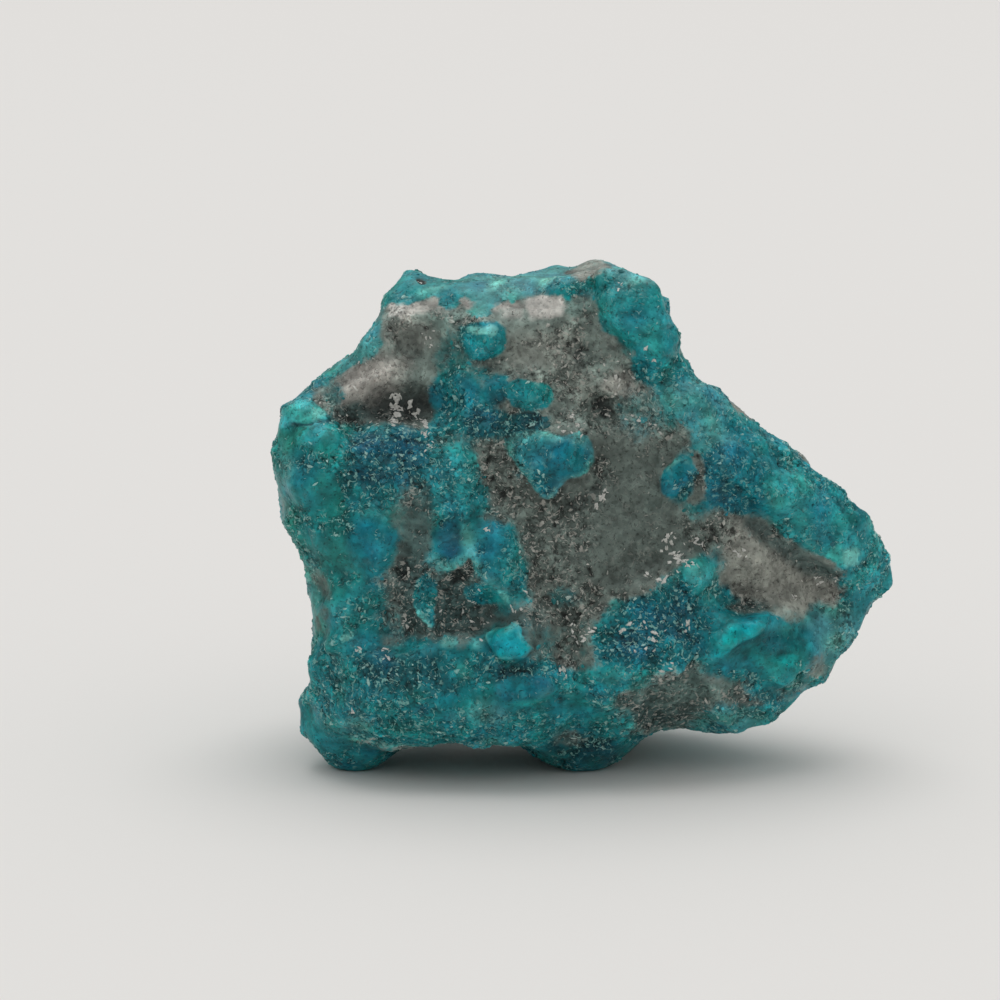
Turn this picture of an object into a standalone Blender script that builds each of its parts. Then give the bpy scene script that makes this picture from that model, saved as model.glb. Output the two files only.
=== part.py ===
"""A rough turquoise specimen: one broken stone of blue-green turquoise grown through grey quartz.

It stands on three small worn feet. +Z is up and the broad front faces -Y. Sizes are in
millimetres until the last step, which turns the stone to metres.
"""

import math

import bmesh
import bpy
import numpy as np
from mathutils import Matrix, Vector, noise
from mathutils.bvhtree import BVHTree

MM = 0.001

# Driving sizes of the stone
STONE_WIDTH = 46.4
STONE_DEPTH = 23.6
STONE_HEIGHT = 37.8

# The front is traced on a sheet that leans back, in steps to the right and down, seen from an eye
# in front of it. Where the two middle lines of the sheet cross it faces the eye squarely.
STEP = 0.075
LEAN = math.radians(12.0)
EYE_DISTANCE = 300.0
SHEET_MIDDLE = (500.0, 500.0)
PLUMB_LINE = 581.5  # the step across that stands over the middle of the footprint
GROUND_LINE = 771.0  # the step down at which the front feet touch the ground

# The rim, where the front and back meet: steps across, steps down and depth behind the sheet in mm,
# clockwise from the upper left corner of the top ledge
RIM = (
    (383, 300, -4.0), (390, 291, -3.5), (400, 276, -3.0), (405, 270, -3.0), (412, 268, -3.0),
    (422, 269, -3.0), (435, 272, -3.0), (447, 277, -3.0), (457, 280, -3.0), (466, 276, -3.0),
    (476, 274, -3.0), (487, 278, -3.0), (497, 281, -3.0), (505, 279, -3.0), (515, 275, -3.0),
    (530, 272, -3.0), (545, 269, -3.0), (560, 267, -3.0), (575, 264, -3.0), (590, 261, -3.0),
    (600, 263, -3.0), (615, 266, -3.5), (628, 269, -4.0), (640, 271, -4.5), (648, 276, -5.0),
    (655, 287, -5.0), (663, 293, -4.5), (669, 299, -4.0), (672, 308, -4.0), (673, 325, -3.5),
    (673, 340, -3.0), (674, 352, -2.5), (677, 363, -2.5), (687, 372, -2.5), (697, 382, -2.5),
    (705, 384, -2.5), (715, 388, -2.5), (723, 395, -2.0), (729, 403, -2.0), (733, 414, -2.0),
    (745, 420, -2.0), (757, 428, -1.5), (765, 433, -1.5), (775, 436, -1.5), (783, 444, -1.5),
    (795, 452, -1.5), (808, 462, -1.0), (820, 478, -1.0), (830, 490, -1.0), (845, 502, -1.0),
    (857, 514, -1.0), (866, 523, -0.5), (875, 536, -0.5), (882, 550, -0.5), (887, 565, -0.5),
    (887, 577, -0.5), (881, 588, -0.5), (874, 600, -0.5), (865, 612, 0.0), (860, 622, 0.0),
    (848, 638, 0.0), (839, 652, 0.0), (831, 664, 0.0), (820, 676, 0.5), (811, 684, 0.5),
    (799, 689, 0.5), (789, 695, 1.0), (782, 703, 1.0), (773, 712, 1.0), (765, 718, 1.0),
    (759, 718, 1.0), (752, 727, 1.0), (742, 731, 1.0), (732, 737, 1.0), (722, 737, 1.0),
    (705, 736, 1.0), (690, 735, 1.0), (675, 732, 1.0), (662, 733, 1.0), (650, 736, 0.5),
    (638, 740, 0.5), (628, 746, 0.0), (615, 748, 0.0), (598, 750, 0.0), (580, 751, 0.0),
    (562, 749, 0.0), (545, 744, 0.0), (520, 742, -0.5), (500, 740, -1.0), (470, 736, -1.0),
    (440, 736, -1.0), (430, 739, -1.0), (415, 743, -0.5), (400, 745, -0.5), (385, 746, 0.0),
    (370, 749, 0.0), (355, 750, 0.0), (340, 748, 0.0), (328, 744, 0.0), (318, 737, 0.0),
    (310, 730, 0.0), (303, 724, 0.0), (301, 715, 0.0), (302, 703, 0.0), (305, 690, -0.5),
    (310, 680, -0.5), (314, 668, -1.0), (316, 655, -1.0), (314, 645, -1.0), (311, 635, -1.0),
    (309, 625, -1.0), (312, 612, -1.0), (313, 598, -1.0), (313, 590, -1.0), (309, 578, -1.5),
    (304, 565, -1.5), (301, 548, -2.0), (297, 540, -2.0), (290, 530, -2.0), (285, 522, -2.0),
    (282, 508, -2.0), (282, 495, -2.0), (279, 485, -2.0), (274, 475, -2.0), (272, 462, -2.0),
    (274, 448, -2.0), (278, 435, -2.0), (280, 423, -2.0), (278, 411, -2.0), (281, 400, -2.0),
    (292, 396, -2.0), (304, 394, -2.0), (314, 387, -2.5), (319, 379, -2.5), (324, 368, -2.5),
    (334, 364, -3.0), (341, 358, -3.0), (347, 354, -3.0), (357, 354, -3.5), (362, 349, -3.5),
    (365, 340, -4.0), (372, 331, -4.0), (376, 318, -4.0), (380, 306, -4.0),
)
HEART = (-1.5, 18.0)  # across and up the sheet in mm, the point that the whole rim can be seen from

# How far the front and back stand out from the rim, and how square their shoulders are
FRONT_SWELL = 9.6
BACK_SWELL = 13.0
SHOULDER_POWER = 2.7
SWELL_WAVES = (13.0, 0.16)  # width in mm, and share of the swell that the waves add or take
TIP_STARTS = 3.0  # mm across at which the stone begins to thin towards its right tip
TIP_THINNING = 0.50  # share of the swell that is gone at the tip
RIM_DETAIL_DEPTH = 0.16  # share of the swell over which the small steps of the rim fade out
RIM_SMOOTHING = math.radians(9.0)

# Flat breaks: a point by steps across, steps down and depth, and the way that the break faces
BREAKS = (
    ("top ledge", (500, 270, -3.0), (-0.045, -0.02, 1.0)),
    ("upper front", (520, 296, -9.4), (-0.03, -0.985, 0.17)),
    ("lower front", (440, 620, -8.8), (-0.04, -1.0, 0.04)),
    ("right front", (760, 560, -6.9), (0.24, -0.96, 0.12)),
    ("front undercut", (520, 738, -5.6), (0.02, -0.62, -0.78)),
    ("left front corner", (304, 520, -7.6), (-0.74, -0.67, 0.05)),
    ("base", (580, 763, 0.0), (0.0, 0.03, -1.0)),
    ("back face", (520, 520, 11.6), (-0.10, 0.98, 0.06)),
    ("back left shoulder", (350, 470, 6.0), (-0.70, 0.68, 0.16)),
    ("back right shoulder", (700, 470, 6.4), (0.56, 0.80, 0.22)),
    ("back top slope", (520, 280, 1.8), (0.06, 0.58, 0.81)),
    ("back foot slope", (520, 722, 10.8), (-0.05, 0.78, -0.62)),
    ("right underside", (760, 700, 2.0), (0.30, 0.20, -0.93)),
    ("left heel", (330, 690, 5.0), (-0.74, 0.52, -0.42)),
)

# Raised and sunken grounds of the front: name, rise in mm, softness of the edge in steps, outline
FRONT_GROUNDS = (
    ("left block", 0.6, 34,
     ((255, 400), (330, 416), (352, 430), (425, 428), (440, 480), (425, 560), (395, 600), (330, 636), (260, 640))),
    ("foot block", 0.7, 20,
     ((285, 660), (330, 642), (400, 648), (480, 636), (530, 630), (556, 680), (560, 730), (540, 775), (280, 775))),
    ("crown lobe", 0.8, 18,
     ((592, 250), (670, 250), (700, 330), (700, 385), (645, 378), (612, 340), (598, 312))),
    ("rim band", 0.8, 20,
     ((642, 384), (700, 360), (760, 400), (910, 530), (910, 600), (850, 584), (792, 548), (730, 505), (672, 440))),
    ("lower lobe", 0.7, 18,
     ((706, 612), (764, 602), (830, 622), (900, 590), (860, 700), (760, 745), (700, 716), (694, 655))),
    ("speckled swell", 0.5, 18,
     ((590, 612), (640, 585), (700, 552), (716, 596), (694, 655), (640, 690), (580, 676))),
    ("quartz hollow", -1.0, 22,
     ((334, 396), (350, 366), (386, 330), (404, 314), (440, 312), (452, 360), (440, 408), (424, 424), (352, 426))),
    ("matrix bed", -0.6, 24,
     ((556, 326), (612, 350), (645, 390), (668, 446), (700, 494), (742, 520), (850, 592), (764, 600), (706, 606),
      (700, 556), (630, 582), (566, 640), (530, 600), (530, 520), (592, 486), (600, 440), (560, 404))),
    ("low bed", -0.5, 16,
     ((640, 684), (696, 662), (760, 702), (740, 744), (650, 742))),
    ("left gully", -0.5, 16,
     ((388, 592), (470, 584), (500, 616), (470, 636), (392, 634))),
)

# Smaller lumps and pits of the front: name, steps across and down, half width and half height in
# steps, turn in degrees, rise in mm, and how soft the edge is from 0 to 1
FRONT_LUMPS = (
    ("white ridge", 372, 380, 36, 14, 36, 1.0, 0.8),
    ("bright ear", 303, 413, 24, 13, 0, 0.7, 0.5),
    ("left boss", 312, 466, 34, 46, 6, 0.6, 0.8),
    ("dark boss", 385, 452, 34, 24, 0, 0.3, 0.7),
    ("blue boss", 374, 545, 33, 35, 0, 0.7, 0.8),
    ("left knuckle", 345, 606, 20, 28, -12, 0.6, 0.7),
    ("left rib", 425, 600, 14, 32, 10, 0.6, 0.8),
    ("left column", 455, 478, 32, 40, 0, 0.5, 0.7),
    ("crescent", 490, 560, 33, 36, 20, 0.6, 0.6),
    ("crescent foot", 448, 558, 24, 20, -10, 0.4, 0.7),
    ("bead", 485, 338, 23, 23, 0, 1.0, 0.8),
    ("brow", 524, 392, 36, 20, 5, 0.7, 0.6),
    ("brow left", 470, 398, 26, 22, 0, 0.4, 0.7),
    ("cheek", 552, 456, 40, 27, -8, 0.7, 0.5),
    ("cheek tail", 543, 486, 15, 20, 0, 0.4, 0.7),
    ("bright chip", 510, 641, 24, 18, 0, 0.8, 0.35),
    ("smooth lens", 522, 690, 34, 16, 0, 0.5, 0.7),
    ("small oval", 677, 477, 17, 21, -20, 0.6, 0.7),
    ("right patch", 734, 478, 34, 36, 0, 0.5, 0.7),
    ("right lobe", 816, 502, 58, 32, -36, 0.7, 0.6),
    ("crown boss", 632, 304, 30, 30, 0, 0.4, 0.8),
    ("crown heel", 640, 345, 26, 24, 0, 0.5, 0.8),
    ("band knuckle", 700, 416, 32, 24, -34, 0.6, 0.7),
    ("spur", 696, 572, 24, 28, 0, 0.6, 0.7),
    ("bright facet", 736, 632, 28, 19, 12, 0.8, 0.4),
    ("lobe facet", 792, 664, 34, 20, 24, 0.5, 0.5),
    ("lobe heel", 740, 712, 34, 18, 0, 0.5, 0.7),
    ("crevice", 400, 408, 30, 12, 6, -0.9, 0.8),
    ("upper pit", 412, 346, 13, 12, 0, -0.7, 0.9),
    ("dark pit", 603, 410, 14, 13, 0, -0.8, 0.9),
    ("low pit", 404, 560, 16, 20, 0, -0.7, 0.9),
    ("grain pit", 470, 620, 24, 10, 12, -0.6, 0.9),
    ("middle pit", 566, 650, 16, 14, 0, -0.6, 0.9),
    ("shelf shadow", 782, 540, 46, 10, -32, -0.7, 0.9),
)

# The back, in the same two forms: steps as they would be seen through the stone from the front
BACK_GROUNDS = (
    ("back crest", 1.1, 20,
     ((420, 300), (560, 270), (640, 310), (620, 372), (520, 392), (440, 372))),
    ("back block", 1.2, 22,
     ((280, 470), (380, 440), (450, 480), (460, 570), (400, 640), (310, 650), (270, 560))),
    ("back band", 1.0, 20,
     ((640, 420), (720, 430), (840, 500), (900, 570), (840, 640), (740, 600), (650, 520))),
    ("back bed", -1.2, 24,
     ((470, 420), (600, 410), (650, 470), (660, 560), (590, 610), (500, 560))),
    ("back gully", -0.9, 18,
     ((430, 650), (560, 620), (620, 660), (560, 700), (440, 710))),
)
BACK_LUMPS = (
    ("back bead", 560, 450, 30, 26, 0, 0.9, 0.7),
    ("back boss", 350, 540, 40, 36, 0, 0.7, 0.7),
    ("back cheek", 500, 330, 46, 28, 8, 0.6, 0.6),
    ("back lobe", 760, 520, 56, 34, -30, 0.8, 0.6),
    ("back chip", 470, 620, 28, 18, 10, 0.9, 0.4),
    ("back heel", 650, 660, 44, 30, 0, 0.9, 0.7),
    ("back oval", 420, 420, 24, 30, 15, 0.7, 0.7),
    ("back lens", 600, 560, 30, 20, -10, 0.6, 0.6),
    ("back pit", 520, 500, 20, 18, 0, -0.9, 0.9),
    ("back slit", 690, 600, 40, 10, -30, -0.9, 0.9),
    ("back nick", 400, 350, 24, 14, 30, -0.8, 0.9),
)
OUTLINE_WANDER = ((64.0, 15.0), (24.0, 7.0))  # steps over which the edges of these wander, and how far

# Feet: name, mm across and back, and radius in mm
FEET = (
    ("left foot", -17.0, 1.4, 4.6),
    ("middle foot", 0.0, 1.7, 5.8),
    ("rear foot", 1.4, 9.4, 5.6),
)
FOOT_LEVEL = -0.25  # height in mm that each foot's point reaches down to
FOOT_WEAR = 0.30  # how much of each foot's point is worn flat

# Knobs over the sides and back, and the grain and unevenness of the whole surface
KNOB_TRIES = 900
KNOB_GAP = 0.62  # least distance between two knobs, as a share of their radii together
KNOB_RADIUS = (1.1, 2.8)
KNOB_RISE = (0.25, 0.75)
KNOB_SEED = 4
WANDER_SEED = 7
GRAIN_WIDTH = 3.0
GRAIN_RISE = 0.42
UNEVEN_LAYERS = ((7.0, 0.55), (3.1, 0.34))  # width and depth in mm of each layer of unevenness
ROUGH_INSET = 0.55  # mm that the surface is first taken in, so that the knobs bring it back out
RIM_KEEP = 0.5  # share of all this that reaches the rim, whose outline is already drawn

BLOCK_SUBDIVISIONS = 7
WORK_VOXEL = 0.33
EDGE_SOFTENING = 4  # rounds of smoothing after the breaks
TRIANGLE_BUDGET = 9500
NODE_NAME = "turquoise_stone"


def smoothstep(value):
    """Rises from 0 to 1 with level ends."""
    t = min(max(value, 0.0), 1.0)
    return t * t * (3.0 - 2.0 * t)


def clear_scene():
    for old in list(bpy.data.objects):
        bpy.data.objects.remove(old, do_unlink=True)


def on_sheet(step_across, step_down, depth):
    """Turns steps and a depth to mm across and up the sheet."""
    size = STEP * (1.0 + depth / EYE_DISTANCE)
    across = (step_across - SHEET_MIDDLE[0]) * size + (SHEET_MIDDLE[0] - PLUMB_LINE) * STEP
    up = (SHEET_MIDDLE[1] - step_down) * size + (GROUND_LINE - SHEET_MIDDLE[1]) * STEP
    return across, up


def off_sheet(across, up, depth):
    """Turns mm across and up the sheet and behind it to a place in space."""
    y = up * math.sin(LEAN) + depth * math.cos(LEAN)
    z = up * math.cos(LEAN) - depth * math.sin(LEAN)
    return Vector((across, y, z))


def steps_of(place):
    """Turns a place in space to steps across and down, the other way round from the two above."""
    up = place.y * math.sin(LEAN) + place.z * math.cos(LEAN)
    depth = place.y * math.cos(LEAN) - place.z * math.sin(LEAN)
    size = STEP * (1.0 + depth / EYE_DISTANCE)
    step_across = SHEET_MIDDLE[0] + (place.x - (SHEET_MIDDLE[0] - PLUMB_LINE) * STEP) / size
    step_down = SHEET_MIDDLE[1] - (up - (GROUND_LINE - SHEET_MIDDLE[1]) * STEP) / size
    return step_across, step_down


def rim_lookup():
    """Returns a function from an angle round the heart to the rim's reach, smoothed reach and depth."""
    points = np.array([on_sheet(*point) for point in RIM])
    depth = np.array([point[2] for point in RIM])
    angle = np.arctan2(points[:, 1] - HEART[1], points[:, 0] - HEART[0])
    reach = np.hypot(points[:, 0] - HEART[0], points[:, 1] - HEART[1])
    order = np.argsort(angle)
    angle, reach, depth = angle[order], reach[order], depth[order]
    turn = 2.0 * math.pi
    offsets = np.linspace(-RIM_SMOOTHING, RIM_SMOOTHING, 13)

    def at(direction):
        near = np.interp(direction + offsets, angle, reach, period=turn)
        return float(near[6]), float(near.mean()), float(np.interp(direction, angle, depth, period=turn))

    return at


def swell_at(across, up, swell):
    """The swell of a face thins towards the right tip and rolls in slow waves."""
    tip = 1.0 - TIP_THINNING * smoothstep((across - TIP_STARTS) / (STONE_WIDTH / 2.0 - TIP_STARTS))
    width, share = SWELL_WAVES
    wave = 1.0 + share * noise.noise(Vector((across, swell, up)) / width)
    return swell * tip * wave


def block(bm):
    """A ball drawn out so that its equator, seen square on to the sheet, is the rim."""
    bmesh.ops.create_icosphere(bm, subdivisions=BLOCK_SUBDIVISIONS, radius=1.0)
    rim = rim_lookup()
    for vertex in bm.verts:
        flat = math.hypot(vertex.co.x, vertex.co.z)
        through = abs(vertex.co.y)
        bulk = (flat**SHOULDER_POWER + through**SHOULDER_POWER) ** (1.0 / SHOULDER_POWER)
        direction = math.atan2(vertex.co.z, vertex.co.x)
        sharp, smooth, rim_depth = rim(direction)
        fade = math.exp(-((through / bulk / RIM_DETAIL_DEPTH) ** 2))
        reach = (smooth + (sharp - smooth) * fade) * flat / bulk
        across = HEART[0] + math.cos(direction) * reach
        up = HEART[1] + math.sin(direction) * reach
        if vertex.co.y < 0.0:
            depth = rim_depth * flat - swell_at(across, up, FRONT_SWELL) * through / bulk
        else:
            depth = rim_depth * flat + swell_at(across, up, BACK_SWELL) * through / bulk
        vertex.co = off_sheet(across, up, depth)


def break_flats(bm):
    """Draws in towards the heart whatever stands proud of a flat break."""
    heart = off_sheet(*HEART, 0.0)
    flats = []
    for _, (step_across, step_down, depth), normal in BREAKS:
        outward = Vector(normal).normalized()
        point = off_sheet(*on_sheet(step_across, step_down, depth), depth)
        flats.append((outward, (point - heart).dot(outward)))
    for vertex in bm.verts:
        ray = vertex.co - heart
        share = 1.0
        for outward, distance in flats:
            proud = ray.dot(outward)
            if proud > distance:
                share = min(share, distance / proud)
        vertex.co = heart + ray * share


def with_modifier(stone, kind, **settings):
    """Adds a modifier, applies it, and leaves the result as the stone's own mesh."""
    modifier = stone.modifiers.new(kind.title(), kind)
    for name, value in settings.items():
        setattr(modifier, name, value)
    bpy.context.view_layer.update()
    shaped = bpy.data.meshes.new_from_object(stone.evaluated_get(bpy.context.evaluated_depsgraph_get()))
    stone.modifiers.clear()
    old = stone.data
    stone.data = shaped
    bpy.data.meshes.remove(old)


def reshape(stone, step):
    """Runs one shaping step on the stone's mesh."""
    bm = bmesh.new()
    bm.from_mesh(stone.data)
    step(bm)
    bm.to_mesh(stone.data)
    bm.free()
    stone.data.update()


def inside_distance(outline, x, y):
    """Distance from a point to an outline, positive inside it."""
    inside = False
    nearest = float("inf")
    for (x0, y0), (x1, y1) in zip(outline, outline[1:] + outline[:1]):
        edge_x, edge_y = x1 - x0, y1 - y0
        along = ((x - x0) * edge_x + (y - y0) * edge_y) / (edge_x * edge_x + edge_y * edge_y)
        along = min(max(along, 0.0), 1.0)
        nearest = min(nearest, math.hypot(x - x0 - along * edge_x, y - y0 - along * edge_y))
        if (y0 > y) != (y1 > y) and x < x0 + edge_x * (y - y0) / edge_y:
            inside = not inside
    return nearest if inside else -nearest


def lump_rise(lump, x, y):
    """How far a lump or pit lifts the point of its face at x and y."""
    _, middle_x, middle_y, half_width, half_height, turn, rise, softness = lump
    angle = math.radians(turn)
    right, up = x - middle_x, middle_y - y
    along = (right * math.cos(angle) + up * math.sin(angle)) / half_width
    over = (up * math.cos(angle) - right * math.sin(angle)) / half_height
    reach = 1.0 + 0.5 * softness
    return rise * smoothstep((reach - math.hypot(along, over)) / softness)


def face_rise(grounds, lumps, place):
    """The whole relief of a face at a place, with wandering edges."""
    x, y = steps_of(place)
    for width, far in OUTLINE_WANDER:
        push = noise.noise_vector(Vector((x, y, 0.0)) / width) * far
        x, y = x + push.x, y + push.y
    rise = sum(lump_rise(lump, x, y) for lump in lumps)
    for _, height, softness, outline in grounds:
        rise += height * smoothstep(0.5 + inside_distance(outline, x, y) / softness)
    return rise


def raise_relief(bm):
    """Lifts and sinks the named grounds, lumps and pits of both faces."""
    bm.normal_update()
    moved = []
    for vertex in bm.verts:
        place, normal = vertex.co, vertex.normal
        if normal.y < 0.0:
            rise = face_rise(FRONT_GROUNDS, FRONT_LUMPS, place)
        else:
            rise = face_rise(BACK_GROUNDS, BACK_LUMPS, place)
        moved.append(place + normal * rise * smoothstep(abs(normal.y) * 1.7))
    for vertex, place in zip(bm.verts, moved):
        vertex.co = place


def knobs(bm):
    """Seeded knobs on the sides and back, as place, radius and rise."""
    draw = np.random.default_rng(KNOB_SEED)
    skin = BVHTree.FromBMesh(bm)
    heart = off_sheet(*HEART, 0.0)
    found = []
    for _ in range(KNOB_TRIES):
        direction = Vector(draw.normal(size=3)).normalized()
        radius = float(draw.uniform(*KNOB_RADIUS))
        rise = float(draw.uniform(*KNOB_RISE))
        place, normal, _, _ = skin.ray_cast(heart + direction * 2.0 * STONE_WIDTH, -direction)
        if place is None or normal.y < -0.6 or normal.z > 0.9:
            continue
        if all((place - other).length > KNOB_GAP * (radius + other_radius) for other, other_radius, _ in found):
            found.append((place, radius, rise))
    return found


def roughen(bm):
    """Adds the knobs, the grain and the unevenness, gently near the rim so that the outline stays."""
    bm.normal_update()
    found = knobs(bm)
    moved = []
    for vertex in bm.verts:
        place, normal = vertex.co.copy(), vertex.normal.copy()
        keep = RIM_KEEP + (1.0 - RIM_KEEP) * smoothstep(abs(normal.y) * 1.5)
        lift = -ROUGH_INSET
        for width, depth in UNEVEN_LAYERS:
            lift += depth * noise.noise(place / width)
        wander = noise.noise_vector(place / 2.4) * 0.7
        to_grain, _ = noise.voronoi((place + wander) / GRAIN_WIDTH)
        lift += GRAIN_RISE * (0.45 - min(to_grain[0], 0.9)) * (0.8 + 0.6 * noise.noise(place / 9.0))
        for middle, radius, rise in found:
            away = (place - middle).length / radius
            if away < 1.0:
                lift += rise * (1.0 - away * away) ** 1.5
        moved.append(place + normal * lift * keep)
    for vertex, place in zip(bm.verts, moved):
        vertex.co = place


def hang_feet(bm):
    """Draws the underside down into the three feet."""
    bm.normal_update()
    for vertex in bm.verts:
        if vertex.normal.z > -0.05 or vertex.co.z > 9.0:
            continue
        for _, x, y, radius in FEET:
            away = math.hypot(vertex.co.x - x, vertex.co.y - y) / radius
            vertex.co.z += (FOOT_LEVEL - vertex.co.z) * smoothstep(1.2 * (1.0 - away))


def wear_feet(bm):
    """Cuts the feet off level, which gives the stone the three flats that it stands on."""
    ground = Vector((0.0, 0.0, min(vertex.co.z for vertex in bm.verts) + FOOT_WEAR))
    everything = bm.verts[:] + bm.edges[:] + bm.faces[:]
    down = Vector((0.0, 0.0, -1.0))
    cut = bmesh.ops.bisect_plane(bm, geom=everything, plane_co=ground, plane_no=down, clear_outer=True)
    edges = [item for item in cut["geom_cut"] if isinstance(item, bmesh.types.BMEdge)]
    bmesh.ops.triangle_fill(bm, edges=edges, use_beauty=True)
    bmesh.ops.recalc_face_normals(bm, faces=bm.faces[:])


def fit_to_size(bm):
    """Sets the stone on the middle of its footprint at its driving sizes, in metres."""
    low = Vector([min(vertex.co[axis] for vertex in bm.verts) for axis in range(3)])
    high = Vector([max(vertex.co[axis] for vertex in bm.verts) for axis in range(3)])
    middle = Vector(((low.x + high.x) / 2.0, (low.y + high.y) / 2.0, low.z))
    wanted = (STONE_WIDTH, STONE_DEPTH, STONE_HEIGHT)
    stretch = [wanted[axis] / (high[axis] - low[axis]) for axis in range(3)]
    print("moved by", [round(-value, 3) for value in middle], "stretched by", [round(value, 4) for value in stretch])
    scale = Matrix.Diagonal([value * MM for value in stretch])
    for vertex in bm.verts:
        vertex.co = scale @ (vertex.co - middle)


def stone_material():
    material = bpy.data.materials.new("turquoise_in_quartz")
    material.use_nodes = True
    shader = material.node_tree.nodes["Principled BSDF"]
    shader.inputs["Base Color"].default_value = (0.030, 0.145, 0.155, 1.0)
    shader.inputs["Roughness"].default_value = 0.5
    shader.inputs["Metallic"].default_value = 0.0
    return material


def build():
    clear_scene()
    noise.seed_set(WANDER_SEED)
    mesh = bpy.data.meshes.new(NODE_NAME)
    stone = bpy.data.objects.new(NODE_NAME, mesh)
    bpy.context.scene.collection.objects.link(stone)

    reshape(stone, block)
    reshape(stone, break_flats)
    with_modifier(stone, "SMOOTH", factor=0.5, iterations=EDGE_SOFTENING)
    reshape(stone, raise_relief)
    reshape(stone, roughen)
    reshape(stone, hang_feet)
    with_modifier(stone, "REMESH", mode="VOXEL", voxel_size=WORK_VOXEL)
    triangles = 2 * len(stone.data.polygons)
    with_modifier(stone, "DECIMATE", ratio=TRIANGLE_BUDGET / triangles)
    reshape(stone, wear_feet)
    reshape(stone, fit_to_size)

    stone.data.materials.clear()
    stone.data.materials.append(stone_material())
    stone.data.shade_smooth()


build()
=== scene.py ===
import math

import bmesh
import bpy
import numpy as np
from mathutils import Matrix, Vector, noise


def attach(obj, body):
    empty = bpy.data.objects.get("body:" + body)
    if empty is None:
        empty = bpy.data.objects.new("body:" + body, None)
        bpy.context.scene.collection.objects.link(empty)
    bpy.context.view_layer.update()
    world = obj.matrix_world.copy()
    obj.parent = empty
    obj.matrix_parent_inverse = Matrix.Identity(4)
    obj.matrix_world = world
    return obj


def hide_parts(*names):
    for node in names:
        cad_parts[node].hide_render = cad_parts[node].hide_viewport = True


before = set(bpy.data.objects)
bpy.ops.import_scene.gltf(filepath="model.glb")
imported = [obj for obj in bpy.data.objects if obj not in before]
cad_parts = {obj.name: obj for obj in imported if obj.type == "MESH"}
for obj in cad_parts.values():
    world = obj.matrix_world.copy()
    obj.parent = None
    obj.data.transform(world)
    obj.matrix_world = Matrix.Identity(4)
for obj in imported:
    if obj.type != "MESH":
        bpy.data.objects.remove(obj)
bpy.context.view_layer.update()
toMm = 1000.0


# Colours are sRGB hex, turned to linear here
def linear(hexColour):
    parts = [int(hexColour[i:i + 2], 16) / 255.0 for i in (1, 3, 5)]
    return np.array([c / 12.92 if c <= 0.04045 else ((c + 0.055) / 1.055) ** 2.4 for c in parts])


def smooth(values):
    t = np.clip(values, 0.0, 1.0)
    return t * t * (3.0 - 2.0 * t)


def mix(a, b, share):
    return a + (b - a) * share


def readWord(word):
    if "," in word:
        return tuple(float(part) for part in word.split(","))
    return word if word.isalpha() else float(word)


# A table is plain text. A row starts with what it is and a colon, then come numbers and words, and an
# outline as points x,y that may run on over more lines
def readRows(text):
    rows = []
    for line in text.strip().splitlines():
        _, colon, rest = line.rpartition(":")
        if colon:
            rows.append([])
        rows[-1] += [readWord(word) for word in rest.split()]
    return rows


# Noise of a given width in mm at every place, about -0.7 to 0.7; the shift picks another part of it
def noiseAt(places, width, shift=0.0):
    return np.array([noise.noise(p) for p in (places / width + shift).tolist()])


# Cells of broken stone: distance to the nearest and second nearest middle in cell widths, and the
# height of a flat face that leans its own way in each cell
def cellsAt(places, width, shift=0.0):
    near, second, faces = [], [], []
    for point in (places / width + shift).tolist():
        distances, middles = noise.voronoi(point)
        middle = middles[0]
        near.append(distances[0])
        second.append(distances[1])
        lean = [noise.noise(middle * 7.3 + Vector((turn, 0.0, 0.0))) for turn in (0.0, 31.0, 67.0)]
        faces.append((Vector(point) - middle).dot(Vector(lean)))
    return np.array(near), np.array(second), np.array(faces)


def setInputs(node, values):
    for name, value in values.items():
        node.inputs[name].default_value = value


# One node with its settings, its fixed inputs and its links, each from a socket or a node's first output.
# Inputs 1 to 4 of a MapRange are from low, from high, to low, to high
def addNode(tree, kind, values=None, links=None, **settings):
    node = tree.nodes.new("ShaderNode" + kind)
    for name, value in settings.items():
        setattr(node, name, value)
    setInputs(node, values or {})
    for name, source in (links or {}).items():
        tree.links.new(source.outputs[0] if isinstance(source, bpy.types.Node) else source, node.inputs[name])
    return node


def newMaterial(name):
    material = bpy.data.materials.new(name)
    material.use_nodes = True
    return material, material.node_tree, material.node_tree.nodes["Principled BSDF"]


def newObject(name, data):
    piece = bpy.data.objects.new(name, data)
    bpy.context.scene.collection.objects.link(piece)
    return piece


def opaque(hexColour):
    return (*linear(hexColour), 1.0)


# The front was traced on a sheet that leans back, in steps to the right and down
sheet = {
    "step": 0.075,          # mm
    "lean": math.radians(12.0),
    "eyeDistance": 300.0,   # mm in front of the sheet
    "middle": (500.0, 500.0),
    "plumbLine": 581.5,     # step across over the middle of the footprint
    "groundLine": 771.0,    # step down at which the front feet stand
    "offset": (0.108, 4.351, 0.051),  # mm from the tracing's own zero to the frame's
}


def sheetSteps(places):
    x, y, z = (places + np.array(sheet["offset"])).T
    up = y * math.sin(sheet["lean"]) + z * math.cos(sheet["lean"])
    depth = y * math.cos(sheet["lean"]) - z * math.sin(sheet["lean"])
    size = sheet["step"] * (1.0 + depth / sheet["eyeDistance"])
    middleX, middleY = sheet["middle"]
    across = middleX + (x - (middleX - sheet["plumbLine"]) * sheet["step"]) / size
    down = middleY - (up - (sheet["groundLine"] - middleY) * sheet["step"]) / size
    return across, down


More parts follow.
